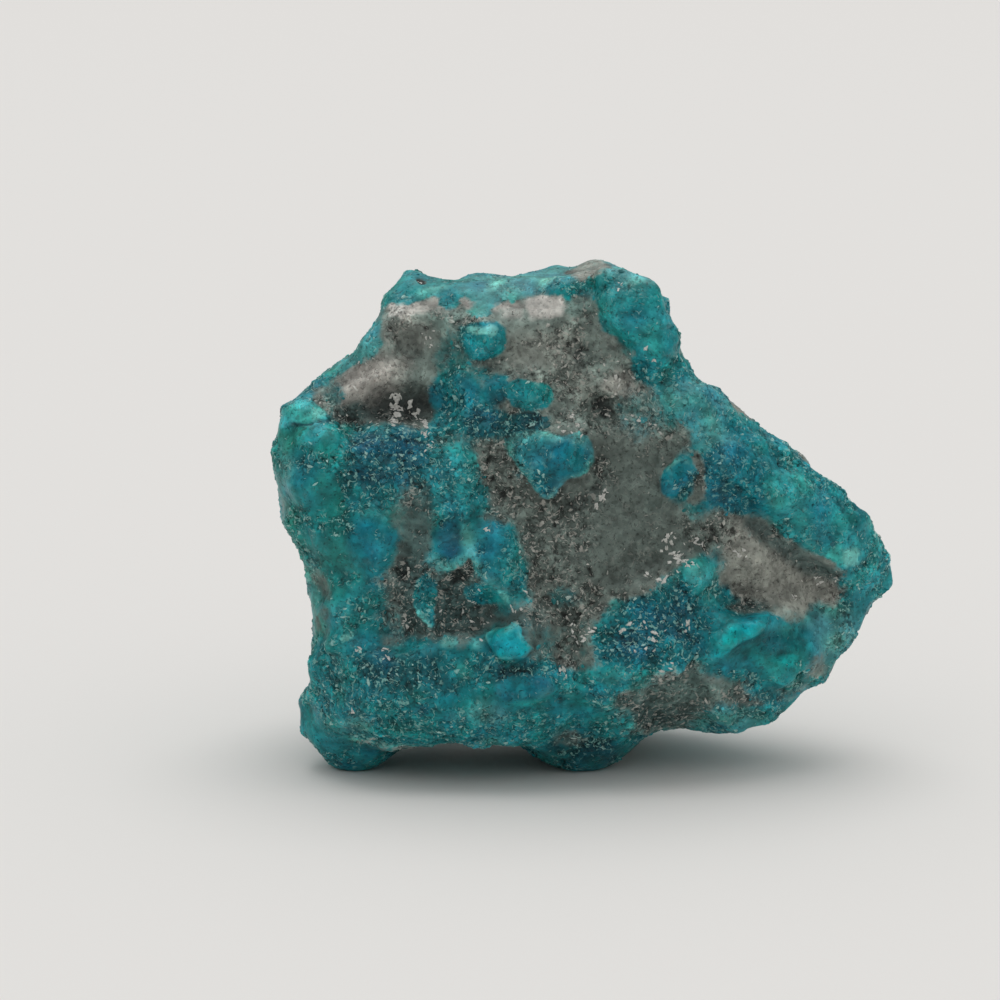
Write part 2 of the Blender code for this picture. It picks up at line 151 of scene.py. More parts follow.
# Turquoise and quartz as they come in the stone, from pools of deep blue to milky quartz
palette = {
    "deepBlue": "#176073",
    "blue": "#0d7280",
    "seaBlue": "#1a7b86",
    "teal": "#158186",
    "brightTeal": "#2a9396",
    "greenTeal": "#1c7c75",
    "cyan": "#3aa5a1",
    "clearCyan": "#089ea6",
    "bottleTeal": "#0a6a6f",
    "paleCyan": "#78cbc1",
    "slateTeal": "#4e9798",
    "inkTeal": "#114650",
    "greyQuartz": "#7b8a83",
    "darkQuartz": "#626e68",
    "brownQuartz": "#8d9088",
    "greenQuartz": "#708a83",
    "mossQuartz": "#46605e",
    "milkQuartz": "#aeaba4",
    "roseQuartz": "#b8aaa4",
    "whiteQuartz": "#c5c3bd",
    "soot": "#262d2d",
}
quartzFinishes = ("greyQuartz", "darkQuartz", "brownQuartz", "greenQuartz", "mossQuartz", "milkQuartz",
                  "roseQuartz", "whiteQuartz", "soot")

# Broad grounds of the front: finish, how soft the border is in steps, outline in steps
frontGrounds = readRows("""
lower left ground: teal 30 300,640 420,640 545,655 600,690 590,780 290,780
left block ground: greenTeal 30 255,395 350,420 352,520 330,640 290,650 255,560
hollow: greyQuartz 22 384,303 452,300 474,318 456,345 442,380 430,428 395,432 350,424 322,410 320,392
  345,368 368,345
upper band: greyQuartz 36 440,300 594,300 606,334 638,366 662,396 692,444 668,458 594,450 560,442 524,440
  508,425 504,405 505,382 490,366 470,362 440,374
middle bed: darkQuartz 34 560,436 668,446 656,500 702,514 748,520 702,556 664,586 604,614 562,650 532,618
  522,560 512,500 524,466
left bed: darkQuartz 30 478,436 512,440 526,500 526,560 512,520 486,510 476,470
shelf: brownQuartz 24 718,540 746,518 792,542 852,590 842,608 790,614 744,606 720,590
low bed: mossQuartz 34 622,700 660,680 692,668 706,680 748,694 764,706 716,712 690,726 648,738 622,730
left gully: mossQuartz 40 384,574 424,568 470,580 482,596 540,612 548,660 500,622 474,640 392,636
""")

# Patches of the front: steps across and down, half width and height in steps, turn in degrees, finish,
# strength, softness of the border as a share of its size, rise in mm
# The foot of the hollow is painted shade under the ridge, where the surface also dips; the lip and lip right
# are a painted highlight along the lower edge
frontPatches = readRows("""
ledge tip: 408 287 26 18 0 teal .9 .5 0
quartz under tip: 402 311 15 8 0 whiteQuartz .8 .5 0
edge quartz left: 430 308 28 8 0 milkQuartz .8 .6 0
edge quartz: 490 303 32 9 0 milkQuartz .9 .5 0
edge quartz right: 578 306 18 9 0 greenQuartz .8 .6 0
turquoise in the edge: 452 304 8 9 0 brightTeal .9 .5 0
cyan in the edge: 512 299 7 5 0 cyan .9 .5 .1
green under edge: 448 322 16 14 0 greenQuartz .7 .8 0
rim of the hollow: 366 344 12 26 -30 slateTeal .75 .7 0
rim of the hollow low: 342 362 14 9 30 slateTeal .7 .7 0
light of the hollow: 408 334 22 16 0 milkQuartz .3 .9 0
pink white ridge: 368 382 36 24 30 roseQuartz .5 .9 0
ridge end: 402 364 12 9 20 milkQuartz .4 .9 0
ridge low: 358 398 18 12 10 milkQuartz .7 .9 0
shadow left of ridge: 334 398 10 16 0 inkTeal .6 .9 0
foot of the hollow: 400 408 44 20 10 soot .8 1.3 -.1
hollow green: 350 416 20 10 0 mossQuartz .8 .9 0
dark left of bead: 452 352 20 22 0 greenTeal .5 .9 0
left of brow: 455 398 26 24 0 seaBlue .9 .6 0
speckle under brow: 510 424 44 14 0 inkTeal .75 .7 0
blue under brow: 480 424 16 12 0 deepBlue .8 .7 0
matrix light: 618 384 16 14 0 milkQuartz .6 .9 0
matrix light low: 642 412 32 28 0 slateTeal .45 .9 0
matrix brown: 540 350 38 22 0 brownQuartz .6 .9 0
matrix middle: 580 386 20 20 0 brownQuartz .4 .9 0
dark pit: 604 409 9 9 0 soot .8 .9 -.15
dark nick: 579 356 6 9 0 soot .6 .9 -.05
under cheek dark: 584 500 20 8 20 soot .5 .9 -.05
crown crest: 592 272 18 8 -6 brownQuartz .8 .6 0
crown strip: 620 281 3 9 -6 paleCyan .9 .5 .1
band teal: 684 384 20 16 -30 brightTeal .6 .8 0
band speckle: 716 446 24 14 -36 slateTeal .6 .8 0
band lower: 800 480 48 22 -42 teal 1 .6 0
tip: 872 560 22 44 -14 brightTeal .8 .6 0
left deep: 300 466 20 22 0 seaBlue .9 .7 0
left green: 338 466 20 36 0 teal .8 .8 0
left rim: 281 492 9 46 -8 slateTeal .7 .8 0
left teal: 316 520 20 26 0 teal .7 .8 0
left low rim: 310 596 9 40 0 slateTeal .7 .8 0
left low dark: 324 586 9 20 20 mossQuartz .6 1.1 0
left low nick: 322 622 5 14 0 soot .6 .9 -.1
dark blue field: 390 458 40 34 0 deepBlue .85 .6 0
field low: 382 496 30 14 0 teal .5 .8 0
beside the column: 414 506 24 28 -20 mossQuartz .7 1.7 0
boss left: 340 560 12 22 0 greenTeal .6 .8 0
right of boss: 414 552 18 32 -12 mossQuartz .85 1.5 0
boss dark: 400 566 7 14 0 soot .6 .9 -.1
chip shadow: 516 668 24 7 6 inkTeal .7 .8 -.05
knuckle ground: 380 664 26 18 0 deepBlue .7 .9 0
foot deep: 408 672 44 24 0 inkTeal .6 .9 0
foot left edge: 314 704 14 26 0 teal .9 .7 0
foot left bright: 322 716 10 16 0 brightTeal .5 .8 0
foot dull: 352 700 16 12 0 inkTeal .3 1.2 0
foot pale ground: 358 724 18 9 0 slateTeal .7 1 0
lip: 362 739 14 3 -4 whiteQuartz .6 .5 .1
lip right: 400 748 34 3 -6 milkQuartz .6 .6 .1
lip far right: 480 745 30 4 4 slateTeal .5 .8 .05
grey grains: 488 714 20 12 0 slateTeal .7 1 0
lens dark: 506 676 14 6 20 inkTeal .7 .9 0
middle grains: 580 650 26 22 0 darkQuartz .7 .8 0
foot ground: 560 710 46 16 0 teal .6 .8 0
middle foot: 580 750 40 16 0 inkTeal .8 .7 0
middle foot left: 570 738 20 10 0 darkQuartz .5 .9 0
swell deep: 640 640 22 18 20 deepBlue .85 .8 0
swell deep right: 672 616 22 14 20 deepBlue .7 .8 0
spur pale: 702 570 9 10 0 paleCyan .4 .9 0
spur left: 680 592 12 10 0 blue .8 .7 0
shelf grains: 786 618 24 10 0 greyQuartz .7 .7 0
lower lobe right: 828 632 28 30 -40 slateTeal .95 .9 0
lobe grains: 812 664 12 12 0 greyQuartz .5 .8 0
bottom lobe: 730 722 34 16 0 slateTeal .7 .8 0
bottom lobe blue: 722 730 18 8 0 blue .6 .8 0
low bed pale: 696 694 44 16 8 greenQuartz .65 .9 0
bed dark: 686 706 12 10 0 soot .5 .9 -.05
nick under the crown: 611 325 13 6 -8 inkTeal .7 .9 -.05
band grains: 722 434 16 10 -30 slateTeal .7 .9 0
""")

# Lumps and facets with a shape of their own: finish, strength, how soft the border is in steps, rise in
# mm, outline in steps
# The bead top and tip pale are painted highlights; under the lobe and over the facet are painted shadow
frontLumps = readRows("""
white block left: whiteQuartz .7 4 0 462,296 478,295 488,299 486,308 466,308
white block middle: whiteQuartz .5 4 0 498,304 524,305 522,318 502,319
white block: whiteQuartz .9 3 .03 527,298 545,295 562,294 566,304 562,315 548,318 530,317 525,308
bead: teal .95 6 .08 460,334 462,326 472,321 486,320 498,322 506,329 507,342 502,352 494,359 482,361
  471,357 463,348
bead top: paleCyan 1 2 .05 467,328 474,325 484,326 492,323 498,328 497,334 492,336 486,332 476,334 470,332
brow left: blue .9 7 0 484,392 488,381 498,373 508,376 508,386 504,400 494,404 486,400
brow: teal .95 6 .08 507,390 512,383 520,379 532,381 546,382 552,389 553,400 547,406 534,410 520,409
  511,405 506,398
cheek: slateTeal .9 6 .1 506,442 514,436 530,431 548,434 560,437 576,434 587,437 592,448 592,462 588,474
  580,478 570,479 562,485 556,493 549,499 541,497 534,488 527,478 518,465 509,453
cheek blue: blue .75 8 0 514,444 540,436 556,446 548,458 536,462 526,472 516,458
cheek heart: blue 1 5 0 550,443 566,440 582,446 589,458 586,472 574,476 561,479 552,490 543,494 533,484
  530,474 540,464 552,456
cheek tail: paleCyan .5 3 .03 549,494 554,488 558,490 555,496 550,498
crown: teal 1 7 0 596,278 620,262 640,266 656,280 674,294 680,320 684,345 684,362 664,364 650,356 636,350
  624,345 616,334 604,330 600,318 596,300
crown bright: brightTeal .9 10 .03 594,294 612,288 628,300 630,322 616,334 602,330
crown blue: brightTeal .8 12 0 634,312 652,304 670,314 674,336 660,354 640,350
crown heel: teal .9 8 0 632,356 648,350 668,354 688,366 700,380 692,392 676,394 660,388 648,384 636,378
  630,368
band upper: slateTeal .55 12 .04 664,384 690,376 708,380 724,392 736,408 728,422 712,432 704,442 694,436
  684,422 672,412 664,400
band blue: blue .45 8 .04 734,430 748,422 764,426 780,438 768,446 750,443 738,438
band blue low: seaBlue .8 7 0 738,446 752,450 764,458 764,470 750,470 740,460
right patch: blue .9 8 .05 700,462 706,452 718,446 736,444 752,448 764,460 764,474 758,480 764,492 764,502
  756,509 744,514 730,511 716,505 706,497 701,484
right patch top: deepBlue .65 10 0 716,456 730,454 742,462 740,476 726,480 716,470
right patch low: deepBlue .75 10 0 706,484 722,482 740,484 742,496 728,506 712,500
oval gap: darkQuartz .85 7 -.02 690,454 700,450 706,462 704,480 706,494 696,504 684,502 690,490 697,474
small oval: blue 1 6 .1 662,492 661,480 666,470 674,461 684,458 692,463 694,472 690,481 683,489 675,496
  667,497
under the lobe: mossQuartz .8 12 -.02 748,512 770,524 790,540 812,556 836,567 848,570 848,577 836,580
  806,574 780,556 760,540 744,524
right lobe: brightTeal 1 6 .08 768,478 782,470 800,474 816,484 828,498 842,514 852,530 862,544 868,556
  862,566 848,568 838,562 824,556 810,550 798,540 786,530 774,520 768,506 764,492
lobe heart: seaBlue .8 12 0 812,505 826,500 838,512 843,528 836,545 820,550 806,540 808,522
tip bright: cyan .8 4 .02 826,557 830,549 839,543 846,550 848,562 842,566 834,562
tip pale: paleCyan .85 3 .04 842,552 848,548 856,548 861,553 861,562 855,566 847,565 842,560
ear: cyan 1 4 .08 280,430 280,415 288,404 299,400 311,402 320,408 325,416 323,421 310,422 300,423 292,427
ear facet: brightTeal .95 4 .04 306,427 314,423 324,424 324,432 322,441 314,445 305,446 297,443 294,440
  300,434
ear pale: paleCyan .6 3 0 312,410 322,409 325,415 316,420 310,418
ear crack: inkTeal .9 3 -.06 290,424 312,421 330,419 331,422 312,425 291,428
left blue streak: blue .8 5 .03 338,482 345,479 351,487 358,500 357,508 350,510 344,503 341,493
column: brightTeal .75 16 .04 434,456 446,448 462,446 476,454 479,468 477,484 472,500 460,512 446,514
  436,506 433,492 434,472
boss: blue .95 12 .05 351,530 358,521 372,518 386,523 395,534 396,550 390,565 380,574 366,576 356,569
  350,556 348,542
boss heart: brightTeal .4 8 0 366,536 380,533 388,543 382,556 370,554
bed teal: blue .5 14 0 546,592 560,584 578,590 582,604 568,612 552,606
crescent dark: deepBlue 1 8 0 432,536 442,520 456,520 462,536 458,552 448,560 436,552
crescent: seaBlue .85 9 .05 462,525 472,528 484,522 498,522 510,528 515,540 515,556 511,568 503,577
  494,583 484,582 478,572 474,560 464,552 460,540
crescent left: paleCyan .3 6 .02 461,524 467,524 472,535 474,548 479,562 486,574 496,580 490,586 480,580
  472,566 465,554 460,540
crescent foot: paleCyan .35 5 .03 425,558 433,554 441,562 452,562 458,556 466,553 468,558 460,566 448,571
  436,570 428,565
crescent nick: soot .8 4 -.12 468,556 472,560 473,572 468,582 456,582 450,574 458,567 465,561
rib: teal .9 6 .06 414,582 424,576 434,582 438,596 436,608 434,628 428,624 418,614 414,602
rib pale: paleCyan .45 3 .05 416,606 420,608 427,616 433,627 430,630 422,622 417,615
ring: teal .8 5 .04 465,588 476,582 490,587 502,590 509,594 508,600 498,598 492,604 482,608 472,603
  466,597
ring pale: paleCyan .5 3 .03 496,588 506,591 510,597 508,602 502,600 500,595
chip left: paleCyan .4 3 .06 478,641 486,632 494,634 492,643 484,642
chip: clearCyan .85 1.5 .25 488,634 496,630 508,627 516,623 521,624 522,632 527,640 532,648 526,653
  518,656 510,659 500,658 494,652 490,645 486,640
cyan bit: paleCyan .5 3 .05 440,641 446,635 456,637 458,643 450,648 442,647
cyan bit right: paleCyan .4 3 .05 468,638 474,637 481,642 480,648 473,649 469,644
cyan bit low: cyan .6 4 .05 453,665 460,661 470,668 474,674 470,680 462,678 456,674
smooth lens: blue 1 4 .08 496,684 508,676 520,672 534,674 544,680 556,688 552,694 540,699 524,701 506,700
  496,694
right of lens: cyan .5 4 .03 559,689 568,684 575,688 574,695 564,697
cyan streak: cyan .5 5 .03 598,676 610,668 626,665 642,668 640,677 622,681 606,685
knuckle: brightTeal .95 5 .06 328,604 334,602 342,598 352,604 354,616 352,630 346,636 338,632 332,622
knuckle foot: paleCyan .8 2 .06 338,638 344,635 353,633 351,638 344,642
foot cyan: clearCyan .8 3 .04 370,727 376,719 383,726 384,735 378,740 371,735
foot blue: blue .9 3 .02 414,708 424,704 432,708 429,715 418,715
foot blue right: cyan .5 3 .02 451,715 458,712 462,720 456,725 451,721
left toe: seaBlue .8 7 0 328,744 345,741 376,746 380,756 372,766 360,772 342,768 332,758
speckled swell: blue .85 12 .04 592,638 604,622 628,606 652,596 676,588 704,596 714,612 712,634 704,652
  684,664 660,672 630,672 604,664
swell deep left: deepBlue .85 12 0 620,640 636,624 652,630 654,648 640,660 624,654
swell deep: deepBlue .85 12 0 652,612 672,602 692,608 700,624 692,640 672,640 656,630
spur: cyan .75 14 .03 685,570 694,558 706,556 715,565 717,586 714,603 708,606 703,594 690,588
over the facet: mossQuartz .85 10 -.04 724,606 745,598 765,601 774,610 762,617 740,616
facet ground: teal .9 9 .03 712,640 716,618 730,615 748,616 768,612 790,622 812,634 816,652 800,670
  786,684 766,684 742,672 724,664
facet deep: bottleTeal 1 5 -.02 728,649 746,641 760,635 768,630 787,631 801,638 806,647 787,654 769,659
  751,659 734,657
bright facet: clearCyan 1 3 0 711,649 718,640 726,633 728,625 742,621 758,621 767,626 760,635 746,641
  737,643 730,649 728,656 721,662 714,656
facet upper right: brightTeal .6 5 0 770,622 784,624 800,634 790,638 776,632
cyan edge: clearCyan .8 2 .02 778,659 787,655 801,654 796,663 789,667 780,665
lobe under edge: brightTeal .45 6 0 764,662 778,662 787,668 784,678 774,684 762,680 756,670
""")

# The back, the same way: steps as they would be seen through the stone from the front
backGrounds = readRows("""
back bed: greyQuartz 22 456,400 600,404 660,450 676,560 590,616 500,572 456,480
back low bed: darkQuartz 18 430,640 560,616 630,660 560,706 440,712
back edge quartz: brownQuartz 16 700,570 830,560 800,620 720,640
""")
backPatches = readRows("""
back crest: 540 326 84 40 6 teal .9 .4 0
back crest bright: 500 330 34 18 8 brightTeal .9 .5 .1
back crest white: 596 352 26 12 -10 milkQuartz .8 .6 .05
back bead: 560 450 30 22 24 seaBlue .85 .8 .1
back bead rim: 560 430 20 5 0 paleCyan .6 .6 .06
back oval: 420 420 22 28 15 blue .85 .8 .08
back block: 360 540 60 66 0 greenTeal .8 .6 0
back boss: 350 540 36 32 0 seaBlue 1 .4 .1
back boss deep: 396 586 26 22 0 deepBlue .9 .7 0
back lens: 600 560 32 16 -16 blue .85 .8 .06
back chip: 470 620 24 15 10 cyan 1 .18 .22
back lobe: 760 520 54 32 -30 brightTeal 1 .4 0
back lobe deep: 740 500 22 16 -30 deepBlue .8 .8 0
back heel: 650 668 42 28 0 teal .95 .5 0
back heel cyan: 640 650 16 8 10 cyan .8 .5 .1
back pit: 520 500 26 12 30 soot .6 .9 -.1
back slit: 690 600 36 8 -30 soot .6 .9 -.1
back white vein: 490 540 34 7 24 whiteQuartz .7 .6 .08
""")

# The top ledge as seen from above: as the patches, but in mm across and back from the frame's middle
ledgePatches = readRows("""
ledge ground: -2 0 16 9 0 slateTeal 1 .4 0
ledge left: -13 -1.5 4 5 0 teal .8 .7 0
ledge streak left: -11.2 -3.4 1.3 .25 4 paleCyan .5 .6 .04
ledge blue: -8.4 -3 1.5 1 0 blue .4 .9 0
ledge streak: -6.5 -3.1 .9 .5 50 paleCyan .7 .6 .05
ledge cyan: -2.5 -3.9 1.1 .7 12 paleCyan .75 .5 .05
ledge slate: -1.3 -4.9 1.3 .8 0 blue .5 .7 0
ledge dark: -1 -.6 .5 .9 0 soot .7 .7 -.08
ledge crest: .5 -2.2 1.6 4.4 0 brownQuartz .75 .6 0
ledge hole: -11.9 -2 .42 .8 0 soot 1 .5 -.2
ledge teal: -7.5 1.6 2.4 1.6 0 brightTeal .5 .8 0
ledge back: -4 4.6 5 1.6 0 seaBlue .7 .8 0
""")

# How thickly loose crumbs and flecks lie on the front: steps across and down, half width and height, turn,
# share of the most, softness; the smoothest lumps have less than none
crumbZones = readRows("""
dark blue field: 394 466 46 44 0 1 .6
under the brow: 500 422 62 20 0 .95 .6
matrix by the band: 634 396 62 44 -34 .65 .6
speckled swell: 655 636 60 50 20 1 .5
right patch: 736 482 36 34 10 .6 .6
under the chip: 520 672 60 22 0 .9 .6
left foot: 372 690 60 40 0 .85 .6
foot edge: 470 728 130 20 0 .8 .6
gully: 430 600 60 40 0 .85 .6
shelf: 780 574 60 34 -20 .2 .6
hollow: 376 376 50 34 20 .25 .6
column: 456 480 26 38 0 .8 .6
beside the cheek: 504 478 26 46 0 .95 .6
under the cheek: 566 520 50 30 0 .85 .6
left bed: 540 566 40 40 0 .75 .6
smooth bed: 640 528 48 62 0 .05 .6
cheek: 556 458 32 22 -8 .15 .4
brow: 526 392 27 15 4 .3 .4
bead: 486 342 20 18 0 .2 .4
right lobe: 822 518 50 26 -38 .3 .5
smooth lens: 524 690 32 15 -4 -.2 .4
chip: 510 641 24 18 -6 -.2 .3
facets: 760 642 50 30 0 -.2 .3
ear: 305 425 22 22 4 .2 .5
crown: 630 320 48 46 0 .1 .5
band: 730 420 60 30 -36 .3 .6
ledge edge: 456 298 84 16 0 .1 .6
low bed: 690 704 60 22 0 .75 .6
""")


# How far in from an outline each place is, in steps; outside it the distance is negative
def insideDistance(outline, x, y):
    inside = np.zeros(len(x), bool)
    nearest = np.full(len(x), 1e9)
    for (x0, y0), (x1, y1) in zip(outline, outline[1:] + outline[:1]):
        edgeX, edgeY = x1 - x0, y1 - y0
        along = np.clip(((x - x0) * edgeX + (y - y0) * edgeY) / (edgeX * edgeX + edgeY * edgeY), 0.0, 1.0)
        nearest = np.minimum(nearest, np.hypot(x - x0 - along * edgeX, y - y0 - along * edgeY))
        if edgeY:
            inside ^= ((y0 > y) != (y1 > y)) & (x < x0 + edgeX * (y - y0) / edgeY)
    return np.where(inside, nearest, -nearest)


# The same for an oval, and how far up in it the place is
def ovalDistance(x, y, middleX, middleY, halfWidth, halfHeight, turn):
    angle = math.radians(turn)
    right, up = x - middleX, middleY - y
    along = (right * math.cos(angle) + up * math.sin(angle)) / halfWidth
    over = (up * math.cos(angle) - right * math.sin(angle)) / halfHeight
    return (1.0 - np.hypot(along, over)) * min(halfWidth, halfHeight), up / halfHeight


# Borders wander with the grain of the stone: widths in mm over which they do, and how far
wander = {
    "grounds": ((2.6, 1.3), (0.9, 0.5)),
    "patches": ((1.9, 0.5), (0.6, 0.3)),
    "lumps": ((1.9, 0.2), (0.6, 0.12)),
    "back": ((2.6, 1.0), (0.9, 0.5)),
}


def wandered(places, steps):
    moved = places.copy()
    for seed, (width, reach) in enumerate(steps):
        for axis in range(3):
            moved[:, axis] += reach * noiseAt(places, width, 11.0 * seed + 3.7 * axis + 5.1)
    return moved


# Noise that the looks follow: width in mm, and which part of the noise
veils = {
    "tone": (5.2, 2.3),         # blue against green
    "hue": (3.4, 17.1),
    "glow": (1.9, 31.7),        # bright against deep
    "cover": (4.3, 47.3),       # turquoise against quartz
    "coverFine": (1.7, 61.9),
    "broken": (0.7, 37.3),      # gaps in the painted highlight on the rims
    "crumbs": (2.6, 113.0),     # where crumbs lie thickly
    "crumbsFine": (0.9, 127.0),
    "pits": (0.62, 149.0),
    "swell": (1.1, 43.9),       # light against dark
    "swellFine": (0.55, 53.9),
    "drift": (1.6, 67.7),
}
# Tints over plain teal and over grey quartz: finish, the noise it follows, the level at which it starts,
# how steeply it grows from there, its most. The bright tops also follow how far the surface stands out: a
# painted highlight
turquoiseTints = readRows("""
deep pools: deepBlue tone .05 3 .8
green stretches: greenTeal hue .05 3 1
bright tops: brightTeal raisedGlow .25 3 1
""")
quartzTints = readRows("""
brown stretches: brownQuartz hue -.1 3 1
milky spots: milkQuartz glow .2 3 .5
green between the pools: greenQuartz tone -.05 -3 1
""")
paintwork = {
    "raisedGlow": 0.8,          # per mm that the surface stands out, for a painted highlight of bright teal on raised parts
    "cover": (0.72, 1.5, 0.8, 0.5),  # level of the turquoise, shares of both noises, more per mm of relief
    "crumbs": (0.38, 1.7, 1.1),      # level of the crumbs, shares of both noises
    "front": (-3.0, 0.35),      # how steeply the front's patches end on the sides, and how far they reach
    "back": (3.0, 0.2),         # and the back's
    "pits": (0.22, 6.0),        # level of the noise and steepness
    "turquoiseCover": 0.95,     # share of turquoise in a turquoise patch
    "quartzCover": 0.06,        # and in a quartz one
    "ground": 0.6,              # strength of plain teal under all patches
    "standsOut": 0.1,           # mm of rise from which a patch has a painted highlight on its upper rim and painted shade in a gap under it
    "rim": (0.5, 1.0, 2.2),     # strength of the painted highlight, then steps in from the border and width in steps
    "gap": (0.75, -3.0, 3.0),   # painted shade in the gap, then the same
    "gapDepth": 0.04,           # mm
    "pitShade": 0.5,
    "pitDepth": 0.08,           # mm
    "ledgeHeight": 30.0,        # mm, under which nothing is ledge
    "ledgeCrumbs": 0.4,         # share of the crumbs that stay on it
    "turquoiseSwell": (0.35, 0.65),  # light and dark where it is smooth and where crumbs lie thickly
    "quartzSwell": (0.25, 0.7),
    "drift": (-0.15, -0.1, 0.12),    # in red, green and blue
}


# Everything that the tables say about the surface: the two tints with painted shade and highlights in them,
# how much turquoise covers the quartz, how thickly crumbs lie, and the small rise of each patch
def paint(places, facing, relief):
    p = paintwork
    colour = {name: linear(value) for name, value in palette.items()}
    veil = {name: noiseAt(places, *layer) for name, layer in veils.items()}
    # Glow noise plus a painted highlight on whatever stands out
    veil["raisedGlow"] = veil["glow"] + relief * p["raisedGlow"]

    def tinted(ground, tints):
        tint = colour[ground]
        for finish, name, start, steep, most in tints:
            share = most * smooth((veil[name] - start) * steep)
            tint = mix(tint, colour[finish], share[:, None])
        return tint

    turquoise = tinted("teal", turquoiseTints)
    quartz = tinted("greyQuartz", quartzTints)
    level, coarse, fine, raised = p["cover"]
    cover = smooth(level + coarse * veil["cover"] + fine * veil["coverFine"] + raised * relief)
    rise = np.zeros(len(places))
    paintedShade = np.ones(len(places))
    broken = smooth(0.6 + 2.0 * veil["broken"])

    strayed = {name: wandered(places, steps) for name, steps in wander.items()}
    steps = {name: sheetSteps(moved) for name, moved in strayed.items()}
    front, back = (smooth(facing[:, 1] * steep + reach) for steep, reach in (p["front"], p["back"]))
    top = smooth((facing[:, 2] - 0.72) * 8.0) * (places[:, 2] > p["ledgeHeight"])
    front = front * (1.0 - top)

    def lay(weight, finish, lift=0.0):
        nonlocal turquoise, quartz, cover, rise
        if finish in quartzFinishes:
            quartz = mix(quartz, colour[finish], weight[:, None])
            cover = mix(cover, p["quartzCover"], weight)
        else:
            turquoise = mix(turquoise, colour[finish], weight[:, None])
            cover = mix(cover, p["turquoiseCover"], weight)
        rise = rise + lift * weight

    def layPatch(side, finish, strength, softness, lift, inside, up):
        nonlocal turquoise, cover, paintedShade, rise
        lay(side * strength * smooth(0.5 + inside / softness), finish, lift)
        # A patch that stands out gets a painted highlight on its upper rim and painted shade in a gap under
        # it, where the surface also dips a little
        if lift >= p["standsOut"]:
            strength, middle, width = p["rim"]
            rim = strength * side * broken * smooth(0.2 + up) * np.exp(-((inside - middle) / width) ** 2)
            shade, middle, width = p["gap"]
            gap = side * smooth(0.4 - up) * np.exp(-((inside - middle) / width) ** 2)
            turquoise = mix(turquoise, colour["paleCyan"], rim[:, None])
            cover = mix(cover, 0.9, rim)
            paintedShade = mix(paintedShade, shade, gap)
            rise = rise - p["gapDepth"] * gap

    for side, grounds, patches, layer in ((front, frontGrounds, frontPatches, "patches"),
                                          (back, backGrounds, backPatches, "back")):
        lay(side * p["ground"], "teal")
        for finish, softness, *outline in grounds:
            lay(side * smooth(0.5 + insideDistance(outline, *steps["grounds"]) / softness), finish)
        for x, y, wide, high, turn, finish, strength, softness, lift in patches:
            inside, up = ovalDistance(*steps[layer], x, y, wide, high, turn)
            layPatch(side, finish, strength, softness * min(wide, high), lift, inside, up)
    for finish, strength, softness, lift, *outline in frontLumps:
        low, high = max(y for _, y in outline), min(y for _, y in outline)
        up = (low + high - 2.0 * steps["lumps"][1]) / (low - high)
        layPatch(front, finish, strength, softness, lift, insideDistance(outline, *steps["lumps"]), up)
    across, forward = strayed["lumps"][:, 0], -strayed["lumps"][:, 1]
    for x, y, wide, high, turn, finish, strength, softness, lift in ledgePatches:
        inside, _ = ovalDistance(across, forward, x, -y, wide, high, turn)
        lay(top * strength * smooth(0.5 + inside / (softness * min(wide, high))), finish, lift)

    level, coarse, fine = p["crumbs"]
    crumbs = smooth(level + coarse * veil["crumbs"] + fine * veil["crumbsFine"])
    crumbs = crumbs * mix(1.0, p["ledgeCrumbs"], top)
    for x, y, wide, high, turn, share, softness in crumbZones:
        inside, _ = ovalDistance(*steps["patches"], x, y, wide, high, turn)
        within = front * smooth(0.5 + inside / (softness * min(wide, high)))
        crumbs = np.maximum(0.0, mix(crumbs, mix(share, crumbs, 0.2), within))

    # Small pits where crumbs lie thickly, most of them in the quartz: they dip a little and get painted shade
    level, steep = p["pits"]
    pits = smooth((veil["pits"] - level) * steep) * smooth(crumbs * 1.6 - 0.5) * mix(1.0, 0.4, cover)
    paintedShade = paintedShade * mix(1.0, p["pitShade"], pits)
    rise = rise - p["pitDepth"] * pits

    # Painted shade darkens both. Both swell and fade over a millimetre, most where they are rough, the
    # turquoise also between blue and green
    swell = veil["swell"] + 0.8 * veil["swellFine"]
    turquoise = turquoise * (paintedShade * np.exp(mix(*p["turquoiseSwell"], crumbs) * swell))[:, None]
    turquoise = turquoise * np.exp(veil["drift"][:, None] * p["drift"])
    quartz = quartz * (paintedShade * np.exp(mix(*p["quartzSwell"], crumbs) * swell))[:, None]
    return {"turquoise": turquoise, "quartz": quartz, "cover": cover, "rise": rise, "crumbs": crumbs}


